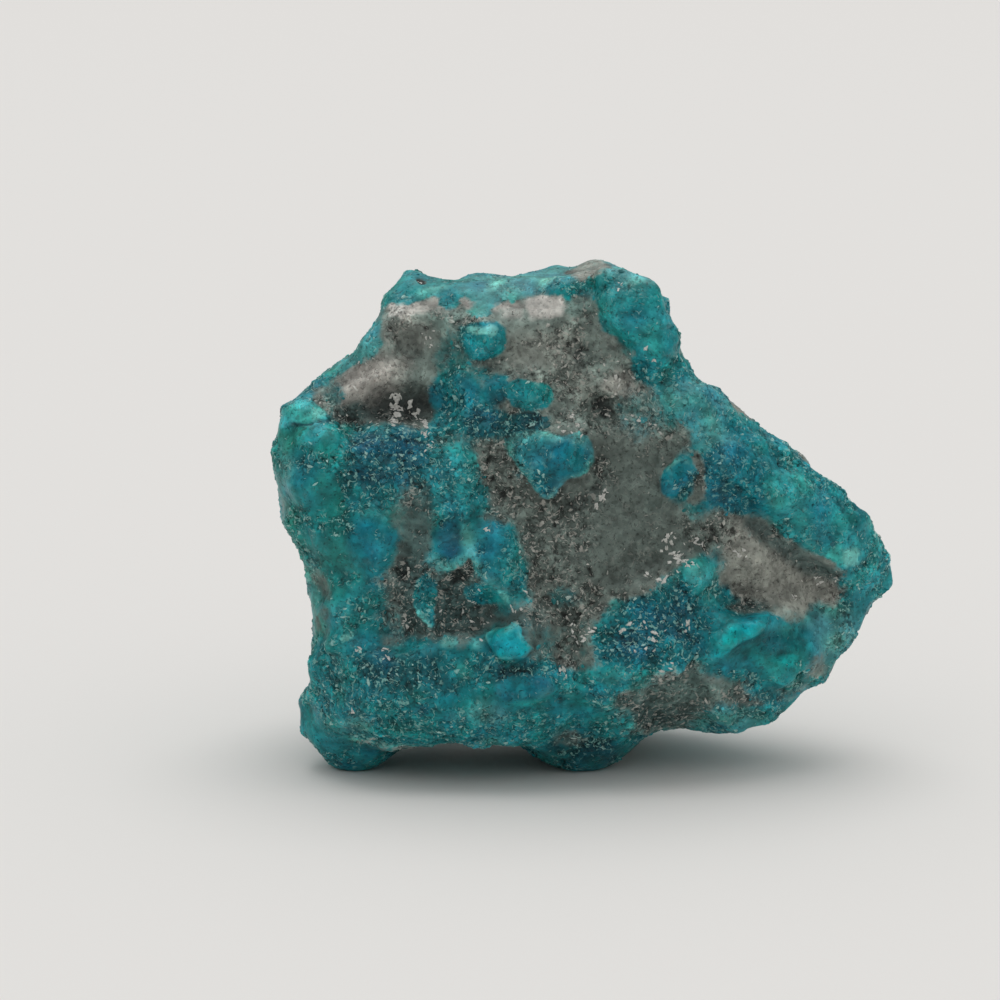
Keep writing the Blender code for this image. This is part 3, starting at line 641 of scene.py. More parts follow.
stone = {
    "voxel": 0.15,          # mm, the finest lumps that are real geometry
    "quickVoxel": 0.30,
    "triangles": 198000,
    "softening": 0.9,       # mm: facets of the solid narrower than this are rounded off
    "broad": 5.0,           # mm: what is left of the form when all that is narrower is smoothed away
    "middle": 2.4,          # mm
    "fine": 0.9,            # mm
    # Width, height and lean of the faces in mm, and what share is left on quartz and where no crumbs lie
    "lumps": (2.0, 0.34, 0.08, 0.5, 0.3),     # the knobbly turquoise
    "grains": (0.75, 0.12, 0.12, 1.0, 0.2),   # sugary quartz
    "grit": (0.40, 0.03, 0.07, 1.0, 0.15),
    "cracks": (4.6, 0.05),        # width between them and depth in mm
    "crackEdge": 0.07,            # half width of a crack as a share of that
    "cracked": 3.1,               # mm, width of the stretches that have cracks
    "bends": (1.1, 0.3),          # width and reach in mm: cells are bent so that none has straight sides
    "swells": (1.1, 0.10),        # width and height in mm of the softest lumps
    "aboveGround": (0.05, 0.5),   # mm: roughness starts here and is full so much higher, the feet stay flat
    "shading": (1.2, 3.2),        # per mm, painted shade between lumps and painted highlight on top: where smooth, where crumbs lie
    "shaded": (-0.15, 0.12),      # mm, between which it grows
    "hollowness": 0.35,           # per mm that the surface lies back from the broad form, for the painted shade in hollows
    "edges": 6.0,                 # per mm that it stands out of the fine form, for painted shade in crevices and a painted highlight on edges
}

# Where the outline stands out or back by less than the solid's facets show: steps across and down, radius
# in steps, mm to the right, mm up
nudges = readRows("""
ledge tip: 410 274 22 -.10 .45
crest: 602 268 42 0 .55
behind the crown: 700 368 30 -.22 -.28
band bump: 782 440 22 .15 .22
lobe edge: 850 504 26 -.28 -.28
bottom lobe: 728 728 36 0 -.8
left foot: 310 750 24 .35 0
left side: 292 548 30 .5 0
left heel: 304 698 18 -.25 0
""")
# Where the solid's facets are rounded off most: steps across and down, radius in steps, share
softSpots = readRows("""
ridge of the hollow: 368 376 48 .8
top edge: 520 306 30 .4
""")


def modified(piece, kind, **settings):
    modifier = piece.modifiers.new(kind.title(), kind)
    for name, value in settings.items():
        setattr(modifier, name, value)
    bpy.context.view_layer.update()
    return bpy.data.meshes.new_from_object(piece.evaluated_get(bpy.context.evaluated_depsgraph_get()))


def apply(piece, kind, **settings):
    old = piece.data
    shaped = modified(piece, kind, **settings)
    piece.modifiers.clear()
    piece.data = shaped
    bpy.data.meshes.remove(old)


def placesOf(mesh, items="vertices", name="co"):
    values = np.empty(len(mesh.vertices) * 3, np.float32)
    getattr(mesh, items).foreach_get(name, values)
    return values.reshape(-1, 3).astype(float)


def normalsOf(mesh):
    return placesOf(mesh, "vertex_normals", "vector")


def setPlaces(mesh, places):
    mesh.vertices.foreach_set("co", places.astype(np.float32).ravel())
    mesh.update()


# The same surface with all that is narrower than the given width smoothed away: its places and normals
def smoothedCopy(piece, width, spacing):
    rounds = max(1, round(1.2 * (width / spacing) ** 2 / 4.0))
    mesh = modified(piece, "SMOOTH", factor=0.5, iterations=rounds)
    piece.modifiers.clear()
    places, normals = placesOf(mesh), normalsOf(mesh)
    bpy.data.meshes.remove(mesh)
    return places, normals


# Where each point is and how it faces, how far it stands out of the broad form, and how sharp it is
def surfaceFacts(piece, spacing):
    places, normals = placesOf(piece.data), normalsOf(piece.data)
    broadPlaces, broadNormals = smoothedCopy(piece, stone["broad"], spacing)
    middlePlaces, _ = smoothedCopy(piece, stone["middle"], spacing)
    finePlaces, _ = smoothedCopy(piece, stone["fine"], spacing)
    across, down = sheetSteps(places)
    return {
        "places": places, "normals": normals, "broad": broadNormals, "across": across, "down": down,
        "relief": ((places - broadPlaces) * broadNormals).sum(1),
        "swelling": ((places - middlePlaces) * broadNormals).sum(1),
        "sharpness": ((places - finePlaces) * normals).sum(1),
    }


def nudge(piece):
    places = placesOf(piece.data)
    across, down = sheetSteps(places)
    for x, y, radius, right, up in nudges:
        weight = smooth(1.0 - np.hypot(across - x, down - y) / radius)
        places[:, 0] += right * weight
        places[:, 2] += up * weight
    setPlaces(piece.data, places)


def softenSpots(piece, spacing):
    places = placesOf(piece.data)
    across, down = sheetSteps(places)
    rounded, normals = smoothedCopy(piece, stone["broad"], spacing)
    for x, y, radius, share in softSpots:
        weight = share * smooth(1.3 - np.hypot(across - x, down - y) / radius) * (normals[:, 1] < 0.0)
        places = mix(places, rounded, weight[:, None])
    setPlaces(piece.data, places)


# Lumps on the turquoise, sugary grains on the quartz, cracks between them
def roughen(piece, spacing):
    facts = surfaceFacts(piece, spacing)
    places, normals = facts["places"], facts["normals"]
    looks = paint(places, facts["broad"], facts["relief"])
    cover, crumbs = looks["cover"], looks["crumbs"]
    bent = places.copy()
    width, reach = stone["bends"]
    for axis in range(3):
        bent[:, axis] += reach * noiseAt(places, width, 71.0 + 5.3 * axis)
    width, height = stone["swells"]
    lift = looks["rise"] + height * mix(0.3, 1.0, crumbs) * noiseAt(places, width, 91.0)
    for seed, name in enumerate(("lumps", "grains", "grit")):
        width, height, lean, onQuartz, whereSmooth = stone[name]
        near, _, faces = cellsAt(bent, width, 9.0 * seed)
        share = mix(onQuartz, 1.0, cover) * mix(whereSmooth, 1.0, crumbs)
        lift += share * (height * (0.5 - near) + 2.0 * lean * faces)
    width, depth = stone["cracks"]
    near, second, _ = cellsAt(bent, width, 41.0)
    cracked = smooth(0.5 + 1.6 * noiseAt(places, stone["cracked"], 83.0))
    lift -= depth * smooth(1.0 - (second - near) / stone["crackEdge"]) * cracked
    start, depth = stone["aboveGround"]
    offGround = smooth((places[:, 2] - start) / depth)
    places = places + normals * (lift * offGround)[:, None]
    places[:, 2] = np.maximum(places[:, 2], 0.0)
    setPlaces(piece.data, places)


def addAttribute(mesh, name, values):
    if values.ndim == 2:
        attribute = mesh.attributes.new(name, "FLOAT_COLOR", "POINT")
        attribute.data.foreach_set("color", np.c_[values, np.ones(len(values))].astype(np.float32).ravel())
    else:
        attribute = mesh.attributes.new(name, "FLOAT", "POINT")
        attribute.data.foreach_set("value", values.astype(np.float32))


def makeStone():
    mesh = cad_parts["turquoise_stone"].data.copy()
    mesh.transform(Matrix.Scale(toMm, 4))
    mesh.materials.clear()
    piece = newObject("rough_turquoise", mesh)
    voxel = stone["voxel"]
    apply(piece, "REMESH", mode="VOXEL", voxel_size=voxel)
    apply(piece, "SMOOTH", factor=0.5, iterations=max(1, round(0.3 * (stone["softening"] / voxel) ** 2)))
    nudge(piece)
    softenSpots(piece, voxel)
    roughen(piece, voxel)
    triangles = 2 * len(piece.data.polygons)
    print("stone roughened,", triangles, "triangles")
    spacing = voxel
    if triangles > stone["triangles"]:
        apply(piece, "DECIMATE", ratio=stone["triangles"] / triangles, use_collapse_triangulate=True)
        spacing = voxel * math.sqrt(triangles / stone["triangles"])
    facts = surfaceFacts(piece, spacing)
    facts.update(paint(facts["places"], facts["broad"], facts["relief"]))
    # Painted shade in the hollows between lumps and painted highlight on their tops, by how far each point
    # stands out of the middle form
    swelling = np.clip(facts["swelling"], *stone["shaded"])
    shade = np.exp(mix(*stone["shading"], facts["crumbs"]) * swelling)[:, None]
    facts["turquoise"], facts["quartz"] = facts["turquoise"] * shade, facts["quartz"] * shade
    # Both tints carry the painted shade and highlights
    addAttribute(piece.data, "turquoiseTint", facts["turquoise"])
    addAttribute(piece.data, "quartzTint", facts["quartz"])
    addAttribute(piece.data, "cover", facts["cover"])
    addAttribute(piece.data, "crumbs", facts["crumbs"])
    addAttribute(piece.data, "hollowness", np.clip(0.5 - facts["relief"] * stone["hollowness"], 0.0, 1.0))
    addAttribute(piece.data, "edges", np.clip(0.5 + facts["sharpness"] * stone["edges"], 0.0, 1.0))
    print("stone", len(facts["places"]), "points", len(piece.data.polygons), "faces")
    return piece, facts


# Turquoise grown through milky quartz, broken rough: waxy blue-green pools between sugary grey grains
turquoiseInQuartz = {
    "ior": 1.55,
    "specular": 0.18,
    "roughness": (0.55, 0.36),  # of quartz and of turquoise
    "roughnessSwing": 0.4,      # how much it differs from grain to grain
    "subsurface": 0.1,
    "subsurfaceScale": 0.0005,  # m
    "paleTurquoise": "#8fc9c1",
    "paleQuartz": "#b4b3ab",
    "raggedness": 0.6,          # of the border between the two
    "grains": 2.9,              # per mm: sugary grains of 0.35 mm
    "gapShare": 0.10,           # how many more gaps there are where crumbs lie thickly
    "grainHeight": -0.5,        # as shares of the bump's
    "fleckHeight": 0.35,
    "bumpHeight": 0.00015,      # m
    # Scale per mm, detail, roughness and distortion of each noise
    "noises": {
        "ragged": (2.2, 4.0, 0.6, 0.4),     # turquoise and quartz interlock in crumbs of about 0.45 mm
        "cloud": (1.2, 5.0, 0.6, 0.0),      # cloudy stretches of 0.8 mm in both
        "gaps": (4.4, 2.0, 0.6, 0.0),       # gaps between grains, darkened with painted shade
        "bends": (1.6, 1.0, 0.5, 1.2),      # pale flecks, partly painted glints and partly pale grains; real ones are down to 0.05 mm, drawn 0.1 mm to show
        "breaks": (2.6, 1.0, 0.5, 0.0),     # where a fleck ends
    },
    # Low and high of what goes in, low and high of what comes out
    "easedRanges": {
        "isTurquoise": (0.52, 1.08, 0.0, 1.0),
        "cloudy": (0.3, 0.7, 0.8, 1.22),
        "creviceShade": (0.1, 0.5, 0.4, 1.0),   # painted shade in crevices
        # painted shade in hollows
        "hollowShade": (0.35, 0.95, 1.06, 0.75),
        "worn": (0.6, 1.0, 0.0, 0.28),      # painted highlight on sharp edges
        # painted shade in the gaps between grains
        "gapShade": (0.30, 0.42, 0.5, 1.0),
        "line": (0.02, 0.06, 1.0, 0.0),     # half the width of a fleck
        "unbroken": (0.50, 0.58, 0.0, 1.0),
    },
    "plainRanges": {
        "grainy": (0.0, 1.0, 0.8, 1.2),
        "fleckShare": (0.1, 0.8, 0.05, 0.8),
        "bumpStrength": (0.0, 1.0, 0.3, 0.8),
    },
}


def makeStoneMaterial():
    m = turquoiseInQuartz
    material, tree, shader = newMaterial("turquoise_in_quartz_broken")
    place = addNode(tree, "TexCoord").outputs["Object"]
    place = addNode(tree, "VectorMath", {1: (toMm, toMm, toMm)}, {0: place}, operation="MULTIPLY")
    tint = {name: addNode(tree, "Attribute", attribute_name=name).outputs["Color"]
            for name in ("turquoiseTint", "quartzTint")}
    fact = {name: addNode(tree, "Attribute", attribute_name=name).outputs["Fac"]
            for name in ("cover", "crumbs", "hollowness", "edges")}
    kinds = ("Scale", "Detail", "Roughness", "Distortion")
    noises = {name: addNode(tree, "TexNoise", dict(zip(kinds, values)), {"Vector": place})
              for name, values in m["noises"].items()}
    grains = addNode(tree, "TexVoronoi", {"Scale": m["grains"]}, {"Vector": place})

    # The border wanders with one noise, gaps are more where crumbs lie, flecks follow level lines
    border = addNode(tree, "Math", {1: m["raggedness"]}, {0: noises["ragged"], 2: fact["cover"]},
                     operation="MULTIPLY_ADD")
    thickly = addNode(tree, "Math", {1: m["gapShare"]}, {0: fact["crumbs"]}, operation="MULTIPLY")
    gapLevel = addNode(tree, "Math", None, {0: noises["gaps"], 1: thickly}, operation="SUBTRACT")
    fromLine = addNode(tree, "Math", {1: 0.5}, {0: noises["bends"]}, operation="SUBTRACT")
    fromLine = addNode(tree, "Math", None, {0: fromLine}, operation="ABSOLUTE")
    sources = {
        "isTurquoise": border, "cloudy": noises["cloud"], "creviceShade": fact["edges"], "worn": fact["edges"],
        "hollowShade": fact["hollowness"], "gapShade": gapLevel, "line": fromLine, "unbroken": noises["breaks"],
        "grainy": addNode(tree, "SeparateColor", None, {0: grains.outputs["Color"]}),
        "fleckShare": fact["crumbs"], "bumpStrength": fact["crumbs"],
    }
    ranged = {}
    for kind, ranges in (("SMOOTHSTEP", m["easedRanges"]), ("LINEAR", m["plainRanges"])):
        for name, values in ranges.items():
            ranged[name] = addNode(tree, "MapRange", dict(enumerate(values, 1)), {0: sources[name]},
                                   interpolation_type=kind)

    # Each tint is clouded and gets painted shade, then edges get a painted highlight and flecks are paler
    shade, flecks = ranged["cloudy"], ranged["line"]
    for name in ("grainy", "creviceShade", "hollowShade", "gapShade"):
        shade = addNode(tree, "Math", None, {0: shade, 1: ranged[name]}, operation="MULTIPLY")
    for name in ("unbroken", "fleckShare"):
        flecks = addNode(tree, "Math", None, {0: flecks, 1: ranged[name]}, operation="MULTIPLY")
    isTurquoise = ranged["isTurquoise"]
    colour = addNode(tree, "Mix", None, {0: isTurquoise, 6: tint["quartzTint"], 7: tint["turquoiseTint"]},
                     data_type="RGBA").outputs[2]
    # The pale colour serves the painted highlight on edges and the flecks
    pale = addNode(tree, "Mix", {6: opaque(m["paleQuartz"]), 7: opaque(m["paleTurquoise"])}, {0: isTurquoise},
                   data_type="RGBA").outputs[2]
    colour = addNode(tree, "VectorMath", None, {0: colour, "Scale": shade}, operation="SCALE").outputs[0]
    for share in (ranged["worn"], flecks):
        colour = addNode(tree, "Mix", None, {0: share, 6: colour, 7: pale}, data_type="RGBA").outputs[2]
    tree.links.new(colour, shader.inputs["Base Color"])

    quartz, turquoise = m["roughness"]
    gloss = addNode(tree, "MapRange", {3: quartz, 4: turquoise}, {0: isTurquoise})
    swing = m["roughnessSwing"]
    roughness = addNode(tree, "Math", {1: swing}, {0: noises["gaps"], 2: gloss}, operation="MULTIPLY_ADD")
    roughness = addNode(tree, "Math", {1: swing / 2.0}, {0: roughness}, operation="SUBTRACT")
    tree.links.new(roughness.outputs[0], shader.inputs["Roughness"])
    setInputs(shader, {"IOR": m["ior"], "Specular IOR Level": m["specular"],
                       "Subsurface Weight": m["subsurface"], "Subsurface Radius": (0.5, 1.0, 1.0),
                       "Subsurface Scale": m["subsurfaceScale"]})

    # Each grain and fleck stands a little proud
    height = addNode(tree, "Math", {1: m["grainHeight"]}, {0: grains.outputs["Distance"], 2: noises["gaps"]},
                     operation="MULTIPLY_ADD")
    height = addNode(tree, "Math", {1: m["fleckHeight"]}, {0: flecks, 2: height}, operation="MULTIPLY_ADD")
    bump = addNode(tree, "Bump", {"Distance": m["bumpHeight"]},
                   {"Height": height, "Strength": ranged["bumpStrength"]})
    tree.links.new(bump.outputs[0], shader.inputs["Normal"])
    return material


# Small bodies too fine for the solid, part sunk in the surface. Half length in mm, width and height as
# shares of it; then how far points stray, bodies lean and sink, and ends bend aside or droop, how pale or
# bright each one is, and density where no crumbs lie and the power that gathers them where they do
crumbs = {
    "turquoise_crumbs": {
        "seed": 4, "count": 6000, "half": (0.12, 0.34), "across": (0.6, 1.0), "up": (0.4, 0.6),
        "jitter": 0.2, "lean": 0.2, "sink": 0.55, "bend": 0.0, "droop": 0.0, "shade": (0.7, 1.3),
        "density": (0.12, 1.0),
    },
    "quartz_chips": {
        "seed": 8, "count": 2400, "half": (0.14, 0.34), "across": (0.4, 0.75), "up": (0.25, 0.4),
        "jitter": 0.2, "lean": 0.25, "sink": 0.3, "bend": 0.8, "droop": 0.6, "shade": (0.5, 1.1),
        "density": (0.02, 2.0),
    },
    "quartz_slivers": {
        "seed": 12, "count": 16400, "half": (0.12, 0.27), "across": (0.18, 0.32), "up": (0.3, 0.45),
        "jitter": 0.25, "lean": 0.15, "sink": 0.2, "bend": 2.2, "droop": 0.9, "shade": (0.1, 0.9),
        "density": (0.06, 1.2), "darkShare": 0.28, "darkShade": (0.3, 0.6),
    },
}
crumbColours = {"paleQuartz": "#c3c3bb", "paleTurquoise": "#a4cfc8", "whiteCrystal": "#d6d6d0"}
crumbsFrom = 0.4    # mm above the ground: none are under the feet

# Groups of white crystals: steps across and down, spread in steps, how many, half length in mm
clusters = readRows("""
crystal strip top: 397 398 4 12 .42
crystal strip: 396 409 6 20 .42
crystal strip low: 392 421 4 10 .36
crystal strip right: 414 412 7 9 .45
crystal strip far right: 424 421 4 6 .45
crystal strip down: 427 434 4 7 .28
crystal strip foot: 429 447 4 6 .25
ridge sparkle: 372 372 14 9 .22
hollow sparkle: 424 336 16 9 .21
brow sparkle: 566 424 16 9 .28
matrix sparkle: 612 378 18 12 .28
matrix sparkle low: 646 424 20 10 .25
swell sparkle: 655 645 26 14 .34
gully sparkle: 470 620 26 12 .28
white crystals: 669 542 8 20 .36
white crystals right: 698 543 6 8 .36
white crystals low: 681 560 10 26 .36
white crystal left: 646 575 5 4 .36
white crystal foot: 659 580 4 3 .53
squiggle: 601 497 2 7 .34
squiggle top: 606 491 2 4 .28
squiggle foot: 597 506 2 7 .3
swell white: 624 629 6 5 .39
swell white right: 686 627 7 7 .36
swell white top: 645 625 5 3 .34
shelf white left: 740 552 8 10 .28
shelf white: 817 579 7 6 .36
shelf white right: 836 580 5 4 .34
shelf white low: 795 597 5 4 .28
ledge glint: 422 279 1 3 .26
crown white: 648 351 3 2 .36
crown white low: 655 361 3 3 .28
crown white top: 619 285 3 5 .28
foot white: 357 648 4 3 .34
foot white right: 385 648 3 3 .28
foot white low: 387 657 5 5 .31
foot white left: 350 709 4 3 .34
bed white: 525 590 3 1 .42
bed white left: 488 530 4 3 .31
bed line: 515 612 12 8 .25
grains by the chip: 580 634 16 14 .34
grains under the chip: 562 672 6 6 .39
matrix white: 579 426 6 6 .31
pit white: 605 413 4 3 .28
left grains: 405 622 8 6 .31
""")


# Points and faces of a rounded crumb one unit in half size
def crumbBody():
    bm = bmesh.new()
    bmesh.ops.create_icosphere(bm, subdivisions=1, radius=1.0)
    bmesh.ops.triangulate(bm, faces=bm.faces)
    bm.verts.index_update()
    points = np.array([vert.co[:] for vert in bm.verts])
    faces = np.array([[vert.index for vert in face.verts] for face in bm.faces])
    bm.free()
    return points, faces


# A sliver with two pointed ends and a three-sided middle, bent by the settings of its piece
def sliverBody():
    ring = [(math.cos(angle), math.sin(angle)) for angle in np.radians((90.0, 210.0, 330.0))]
    points = [(-1.0, 0.0, 0.0)] + [(x, y, z) for x in (-0.4, 0.4) for y, z in ring] + [(1.0, 0.0, 0.0)]
    faces = []
    for i in range(3):
        j = (i + 1) % 3
        faces += [(0, 1 + j, 1 + i), (1 + i, 1 + j, 4 + j), (1 + i, 4 + j, 4 + i), (7, 4 + i, 4 + j)]
    return np.array(points), np.array(faces)


# Spots spread evenly over the stone, kept by the given density, each with a nearby point of the mesh
def spotsOn(mesh, facts, count, density, draw):
    mesh.calc_loop_triangles()
    corners = np.empty(len(mesh.loop_triangles) * 3, np.int32)
    mesh.loop_triangles.foreach_get("vertices", corners)
    corners = corners.reshape(-1, 3)
    a, b, c = (facts["places"][corners[:, i]] for i in range(3))
    weight = np.linalg.norm(np.cross(b - a, c - a), axis=1) * density[corners].mean(1)
    weight[facts["places"][corners[:, 0], 2] < crumbsFrom] = 0.0
    chosen = draw.choice(len(corners), count, p=weight / weight.sum())
    share = draw.random((count, 2))
    flip = share.sum(1) > 1.0
    share[flip] = 1.0 - share[flip]
    return a[chosen] + (b - a)[chosen] * share[:, :1] + (c - a)[chosen] * share[:, 1:], corners[chosen, 0]


# One mesh of many bodies at the spots, each turned its own way, with one tint each. A body's faces share
# one small cell of the map, because they share one tint
def bodiesAt(name, body, settings, spots, normals, half, tints, draw):
    shape, faces = body
    count = len(spots)
    up = normals + draw.normal(size=(count, 3)) * settings["lean"]
    up /= np.linalg.norm(up, axis=1)[:, None]
    along = np.cross(up, draw.normal(size=(count, 3)))
    along /= np.linalg.norm(along, axis=1)[:, None]
    across = np.cross(up, along)
    shapes = shape[None] * (1.0 + settings["jitter"] * draw.uniform(-1.0, 1.0, (count, len(shape), 3)))
    shapes[:, :, 1] += settings["bend"] * draw.uniform(-1.0, 1.0, (count, 1)) * shape[:, 0] ** 2
    shapes[:, :, 2] -= settings["droop"] * shape[:, 0] ** 2
    points = spots[:, None] + shapes[:, :, :1] * (along * half[:, None])[:, None]
    width = (half * draw.uniform(*settings["across"], count))[:, None]
    points += shapes[:, :, 1:2] * (across * width)[:, None]
    height = (half * draw.uniform(*settings["up"], count))[:, None]
    points += (shapes[:, :, 2:] - settings["sink"]) * (up * height)[:, None]
    allFaces = (faces[None] + (np.arange(count) * len(shape))[:, None, None]).reshape(-1, 3)

    mesh = bpy.data.meshes.new(name)
    mesh.from_pydata((points.reshape(-1, 3) / toMm).tolist(), [], allFaces.tolist())
    mesh.shade_flat()
    addAttribute(mesh, "tint", np.repeat(tints, len(shape), axis=0))
    side = math.ceil(math.sqrt(count))
    cell = np.repeat(np.arange(count), len(faces) * 3)
    corner = np.tile([(0.2, 0.2), (0.8, 0.2), (0.2, 0.8)], (count * len(faces), 1))
    flat = (np.c_[cell % side, cell // side] + corner) / side
    mesh.uv_layers.new(name="OFBake").data.foreach_set("uv", flat.astype(np.float32).ravel())
    print(name, count, "bodies,", len(mesh.polygons), "triangles")
    return newObject(name, mesh)


# Points of the mesh at which the white crystals stand, and their sizes
def crystalSpots(facts, draw):
    front = np.flatnonzero(facts["broad"][:, 1] < -0.2)
    chosen, sizes = [], []
    for x, y, spread, count, size in clusters:
        for dx, dy in draw.normal(size=(int(count), 2)) * spread * 0.5:
            away = np.hypot(facts["across"][front] - x - dx, facts["down"][front] - y - dy)
            chosen.append(front[np.argmin(away)])
            sizes.append(size * draw.uniform(0.5, 1.0))
    return np.array(chosen), np.array(sizes)


def makeCrumbs(facts, stonePiece):
    isTurquoise = smooth((facts["cover"] - 0.35) / 0.3)
    colour = {name: linear(value) for name, value in crumbColours.items()}
    # The local tints carry the stone's painted shade and highlights
    local = mix(facts["quartz"], facts["turquoise"], isTurquoise[:, None])
    pale = mix(colour["paleQuartz"], colour["paleTurquoise"], isTurquoise[:, None])
    pieces = {}
    for name, settings in crumbs.items():
        waxy = name == "turquoise_crumbs"
        least, power = settings["density"]
        density = (least + facts["crumbs"] ** power) * (isTurquoise if waxy else 1.0)
        draw = np.random.default_rng(settings["seed"])
        spots, near = spotsOn(stonePiece.data, facts, settings["count"], density, draw)
        half = mix(*settings["half"], draw.random(len(spots)) ** 2.0)   # most are small
        shade = draw.random(len(spots))[:, None]
        tints = mix(local[near], pale[near], mix(*settings["shade"], shade))
        if waxy:
            tints = facts["turquoise"][near] * mix(*settings["shade"], shade)
        elif name == "quartz_slivers":
            # Some slivers are dark: partly painted shadow beside the pale ones, partly dark grains
            dark = draw.random(len(spots)) < settings["darkShare"]
            tints[dark] = local[near][dark] * mix(*settings["darkShade"], shade[dark])
        else:
            white, sizes = crystalSpots(facts, draw)
            spots = np.vstack([spots, facts["places"][white]])
            near = np.concatenate([near, white])
            half = np.concatenate([half, sizes])
            tints = np.vstack([tints, np.tile(colour["whiteCrystal"], (len(white), 1))])
        body = crumbBody() if waxy else sliverBody()
        pieces[name] = bodiesAt(name, body, settings, spots, facts["normals"][near], half, tints, draw)
    return pieces


# Crumbs of waxy turquoise and chips of clear to milky quartz, broken and not worn: what each one's own
# tint gives, a little cloudy inside, catching small lights on its faces
crumbFinishes = {
    "turquoise_crumbs": {"name": "turquoise_crumbs_waxy", "ior": 1.61, "roughness": 0.42, "subsurface": 0.1},
    "quartz_chips": {"name": "quartz_chips_milky", "ior": 1.544, "roughness": 0.45, "subsurface": 0.25},
    "quartz_slivers": {"name": "quartz_slivers_glassy", "ior": 1.544, "roughness": 0.35, "subsurface": 0.25},
}
crumbClouds = {
    "scale": 6.0,           # per mm
    "shade": (0.82, 1.18),
    "swing": 0.12,          # of the roughness
    "specular": 0.3,
    "subsurfaceScale": 0.0002,  # m
}


def makeCrumbMaterial(finish):
    c = crumbClouds
    material, tree, shader = newMaterial(finish["name"])
    place = addNode(tree, "TexCoord").outputs["Object"]
    cloud = addNode(tree, "TexNoise", {"Scale": c["scale"] * toMm, "Detail": 2.0}, {"Vector": place})
    low, high = c["shade"]
    shade = addNode(tree, "MapRange", {1: 0.3, 2: 0.7, 3: low, 4: high}, {0: cloud})
    tint = addNode(tree, "Attribute", attribute_name="tint").outputs["Color"]
    colour = addNode(tree, "VectorMath", None, {0: tint, "Scale": shade}, operation="SCALE")
    tree.links.new(colour.outputs[0], shader.inputs["Base Color"])
    low, high = finish["roughness"] - c["swing"], finish["roughness"] + c["swing"]
    roughness = addNode(tree, "MapRange", {1: 0.3, 2: 0.7, 3: low, 4: high}, {0: cloud})
    tree.links.new(roughness.outputs[0], shader.inputs["Roughness"])
    setInputs(shader, {"IOR": finish["ior"], "Specular IOR Level": c["specular"],
                       "Subsurface Weight": finish["subsurface"], "Subsurface Radius": (1.0, 1.0, 1.0),
                       "Subsurface Scale": c["subsurfaceScale"]})
    return material


stage = {
    "radius": 3.0,         # m
    "floor": "#e6e4e1",
    "roughness": 0.8,
    "specular": 0.2,
    "farOff": "#e2dfdc",   # what the camera sees past the floor
    "fade": (0.35, 1.2),   # m from the stone, where the floor passes into what is behind it
}


# A pale matt sheet that reaches as far as the camera sees and has no edge there
def makeStage():
    bm = bmesh.new()
    bmesh.ops.create_circle(bm, cap_ends=True, segments=96, radius=stage["radius"])
    mesh = bpy.data.meshes.new("pale_floor")
    bm.to_mesh(mesh)
    bm.free()
    floor = newObject("pale_floor", mesh)
    material, tree, shader = newMaterial("matt_paper_pale")
    setInputs(shader, {"Base Color": opaque(stage["floor"]), "Roughness": stage["roughness"],
                       "Specular IOR Level": stage["specular"]})
    place = addNode(tree, "TexCoord").outputs["Object"]
    away = addNode(tree, "VectorMath", None, {0: place}, operation="LENGTH").outputs["Value"]
    near, far = stage["fade"]
    fading = addNode(tree, "MapRange", {1: near, 2: far}, {0: away}, interpolation_type="SMOOTHSTEP")
    below = addNode(tree, "NewGeometry").outputs["Backfacing"]     # a view from below looks through it
    fading = addNode(tree, "Math", None, {0: fading, 1: below}, operation="MAXIMUM")
    seen = addNode(tree, "LightPath").outputs["Is Camera Ray"]
    gone = addNode(tree, "Math", None, {0: fading, 1: seen}, operation="MULTIPLY")
    both = addNode(tree, "MixShader", None, {0: gone, 1: shader, 2: addNode(tree, "BsdfTransparent")})
    tree.links.new(both.outputs[0], tree.nodes["Material Output"].inputs["Surface"])
    mesh.materials.append(material)


light = {
    "softbox": (0.04, 0.40, 2.48),   # m, above and a little behind
    "target": (0.0, 0.0, 0.015),
    "size": 2.4,
    "watts": 20.8,
    "zenith": 0.9,     # strength of the soft light from straight above
    "horizon": 0.08,   # and from level, which the front of the stone mirrors
}


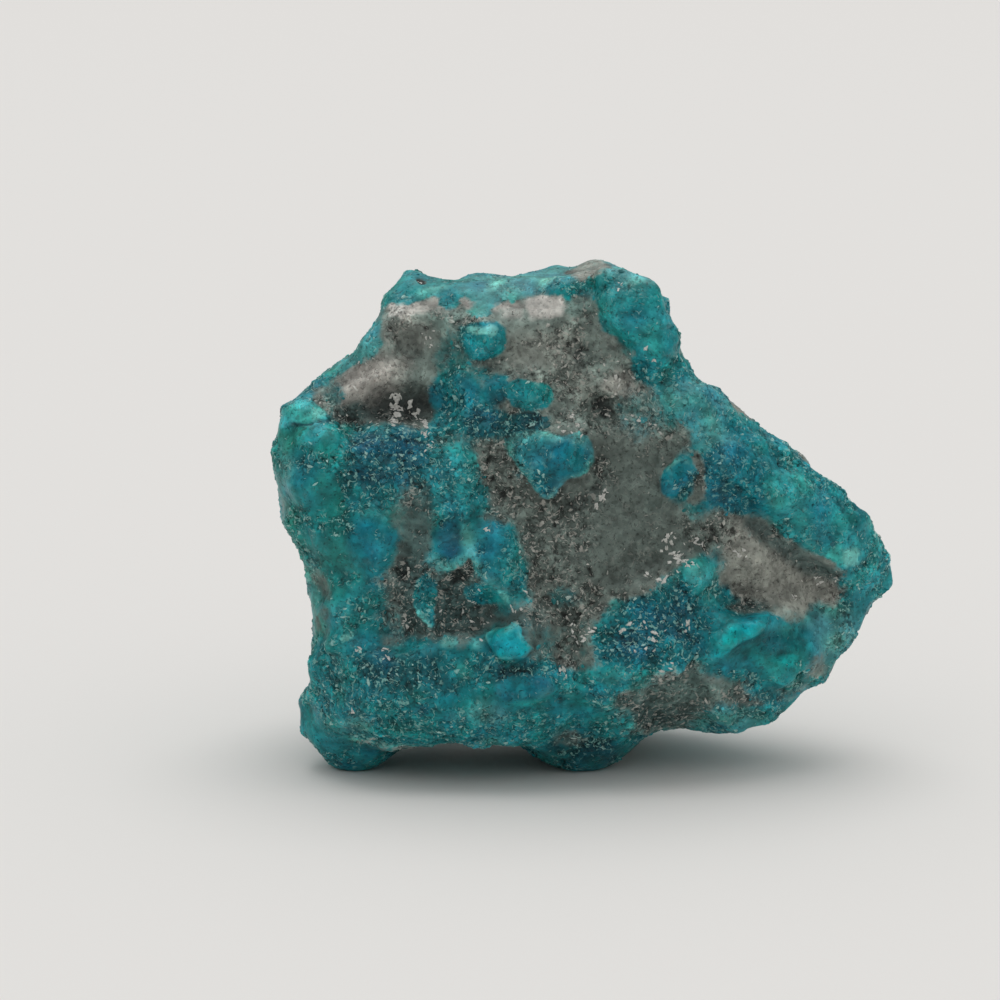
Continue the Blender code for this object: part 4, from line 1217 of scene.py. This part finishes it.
# Light from a wide soft ceiling: bright above, dim to the sides
def makeLights():
    softbox = bpy.data.lights.new("softbox", "AREA")
    softbox.shape = "DISK"
    softbox.size = light["size"]
    softbox.energy = light["watts"]
    lamp = newObject("softbox", softbox)
    lamp.location = light["softbox"]
    toStone = Vector(light["target"]) - Vector(light["softbox"])
    lamp.rotation_euler = toStone.to_track_quat("-Z", "Y").to_euler()
    world = bpy.data.worlds.new("soft_ceiling")
    world.use_nodes = True
    tree = world.node_tree
    direction = addNode(tree, "TexCoord").outputs["Generated"]
    height = addNode(tree, "SeparateXYZ", None, {0: direction}).outputs["Z"]
    strength = addNode(tree, "MapRange", {1: 0.0, 2: 0.9, 3: light["horizon"], 4: light["zenith"]},
                       {0: height}, interpolation_type="SMOOTHSTEP")
    ceiling = addNode(tree, "Background", {"Color": (1.0, 1.0, 1.0, 1.0)}, {"Strength": strength})
    backdrop = addNode(tree, "Background", {"Color": opaque(stage["farOff"])})
    seen = addNode(tree, "LightPath").outputs["Is Camera Ray"]
    both = addNode(tree, "MixShader", None, {0: seen, 1: ceiling, 2: backdrop})
    tree.links.new(both.outputs[0], tree.nodes["World Output"].inputs["Surface"])
    bpy.context.scene.world = world
    bpy.context.scene.view_settings.view_transform = "Standard"


camera = {
    "aim": (-6.2205, -0.125, 19.83),  # mm
    "elevation": math.radians(12.0),
    "distance": 300.0,                # mm
    "lens": 144.0,
}


def makeCamera():
    data = bpy.data.cameras.new("camera")
    data.lens = camera["lens"]
    data.clip_start = 0.01
    eye = newObject("camera", data)
    aim = Vector(camera["aim"])
    rise = camera["elevation"]
    eye.location = (aim + Vector((0.0, -math.cos(rise), math.sin(rise))) * camera["distance"]) / toMm
    eye.rotation_euler = (aim / toMm - eye.location).to_track_quat("-Z", "Y").to_euler()
    bpy.context.scene.camera = eye


makeCamera()
makeStage()
makeLights()
print("stage, lights and camera are in place")

stonePiece, stoneFacts = makeStone()
stonePiece.data.materials.append(makeStoneMaterial())
crumbPieces = makeCrumbs(stoneFacts, stonePiece)
for name, piece in crumbPieces.items():
    piece.data.materials.append(makeCrumbMaterial(crumbFinishes[name]))
stonePiece.data.transform(Matrix.Scale(1.0 / toMm, 4))
stonePiece.data.shade_smooth()
for piece in (stonePiece, *crumbPieces.values()):
    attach(piece, "root")
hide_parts("turquoise_stone")
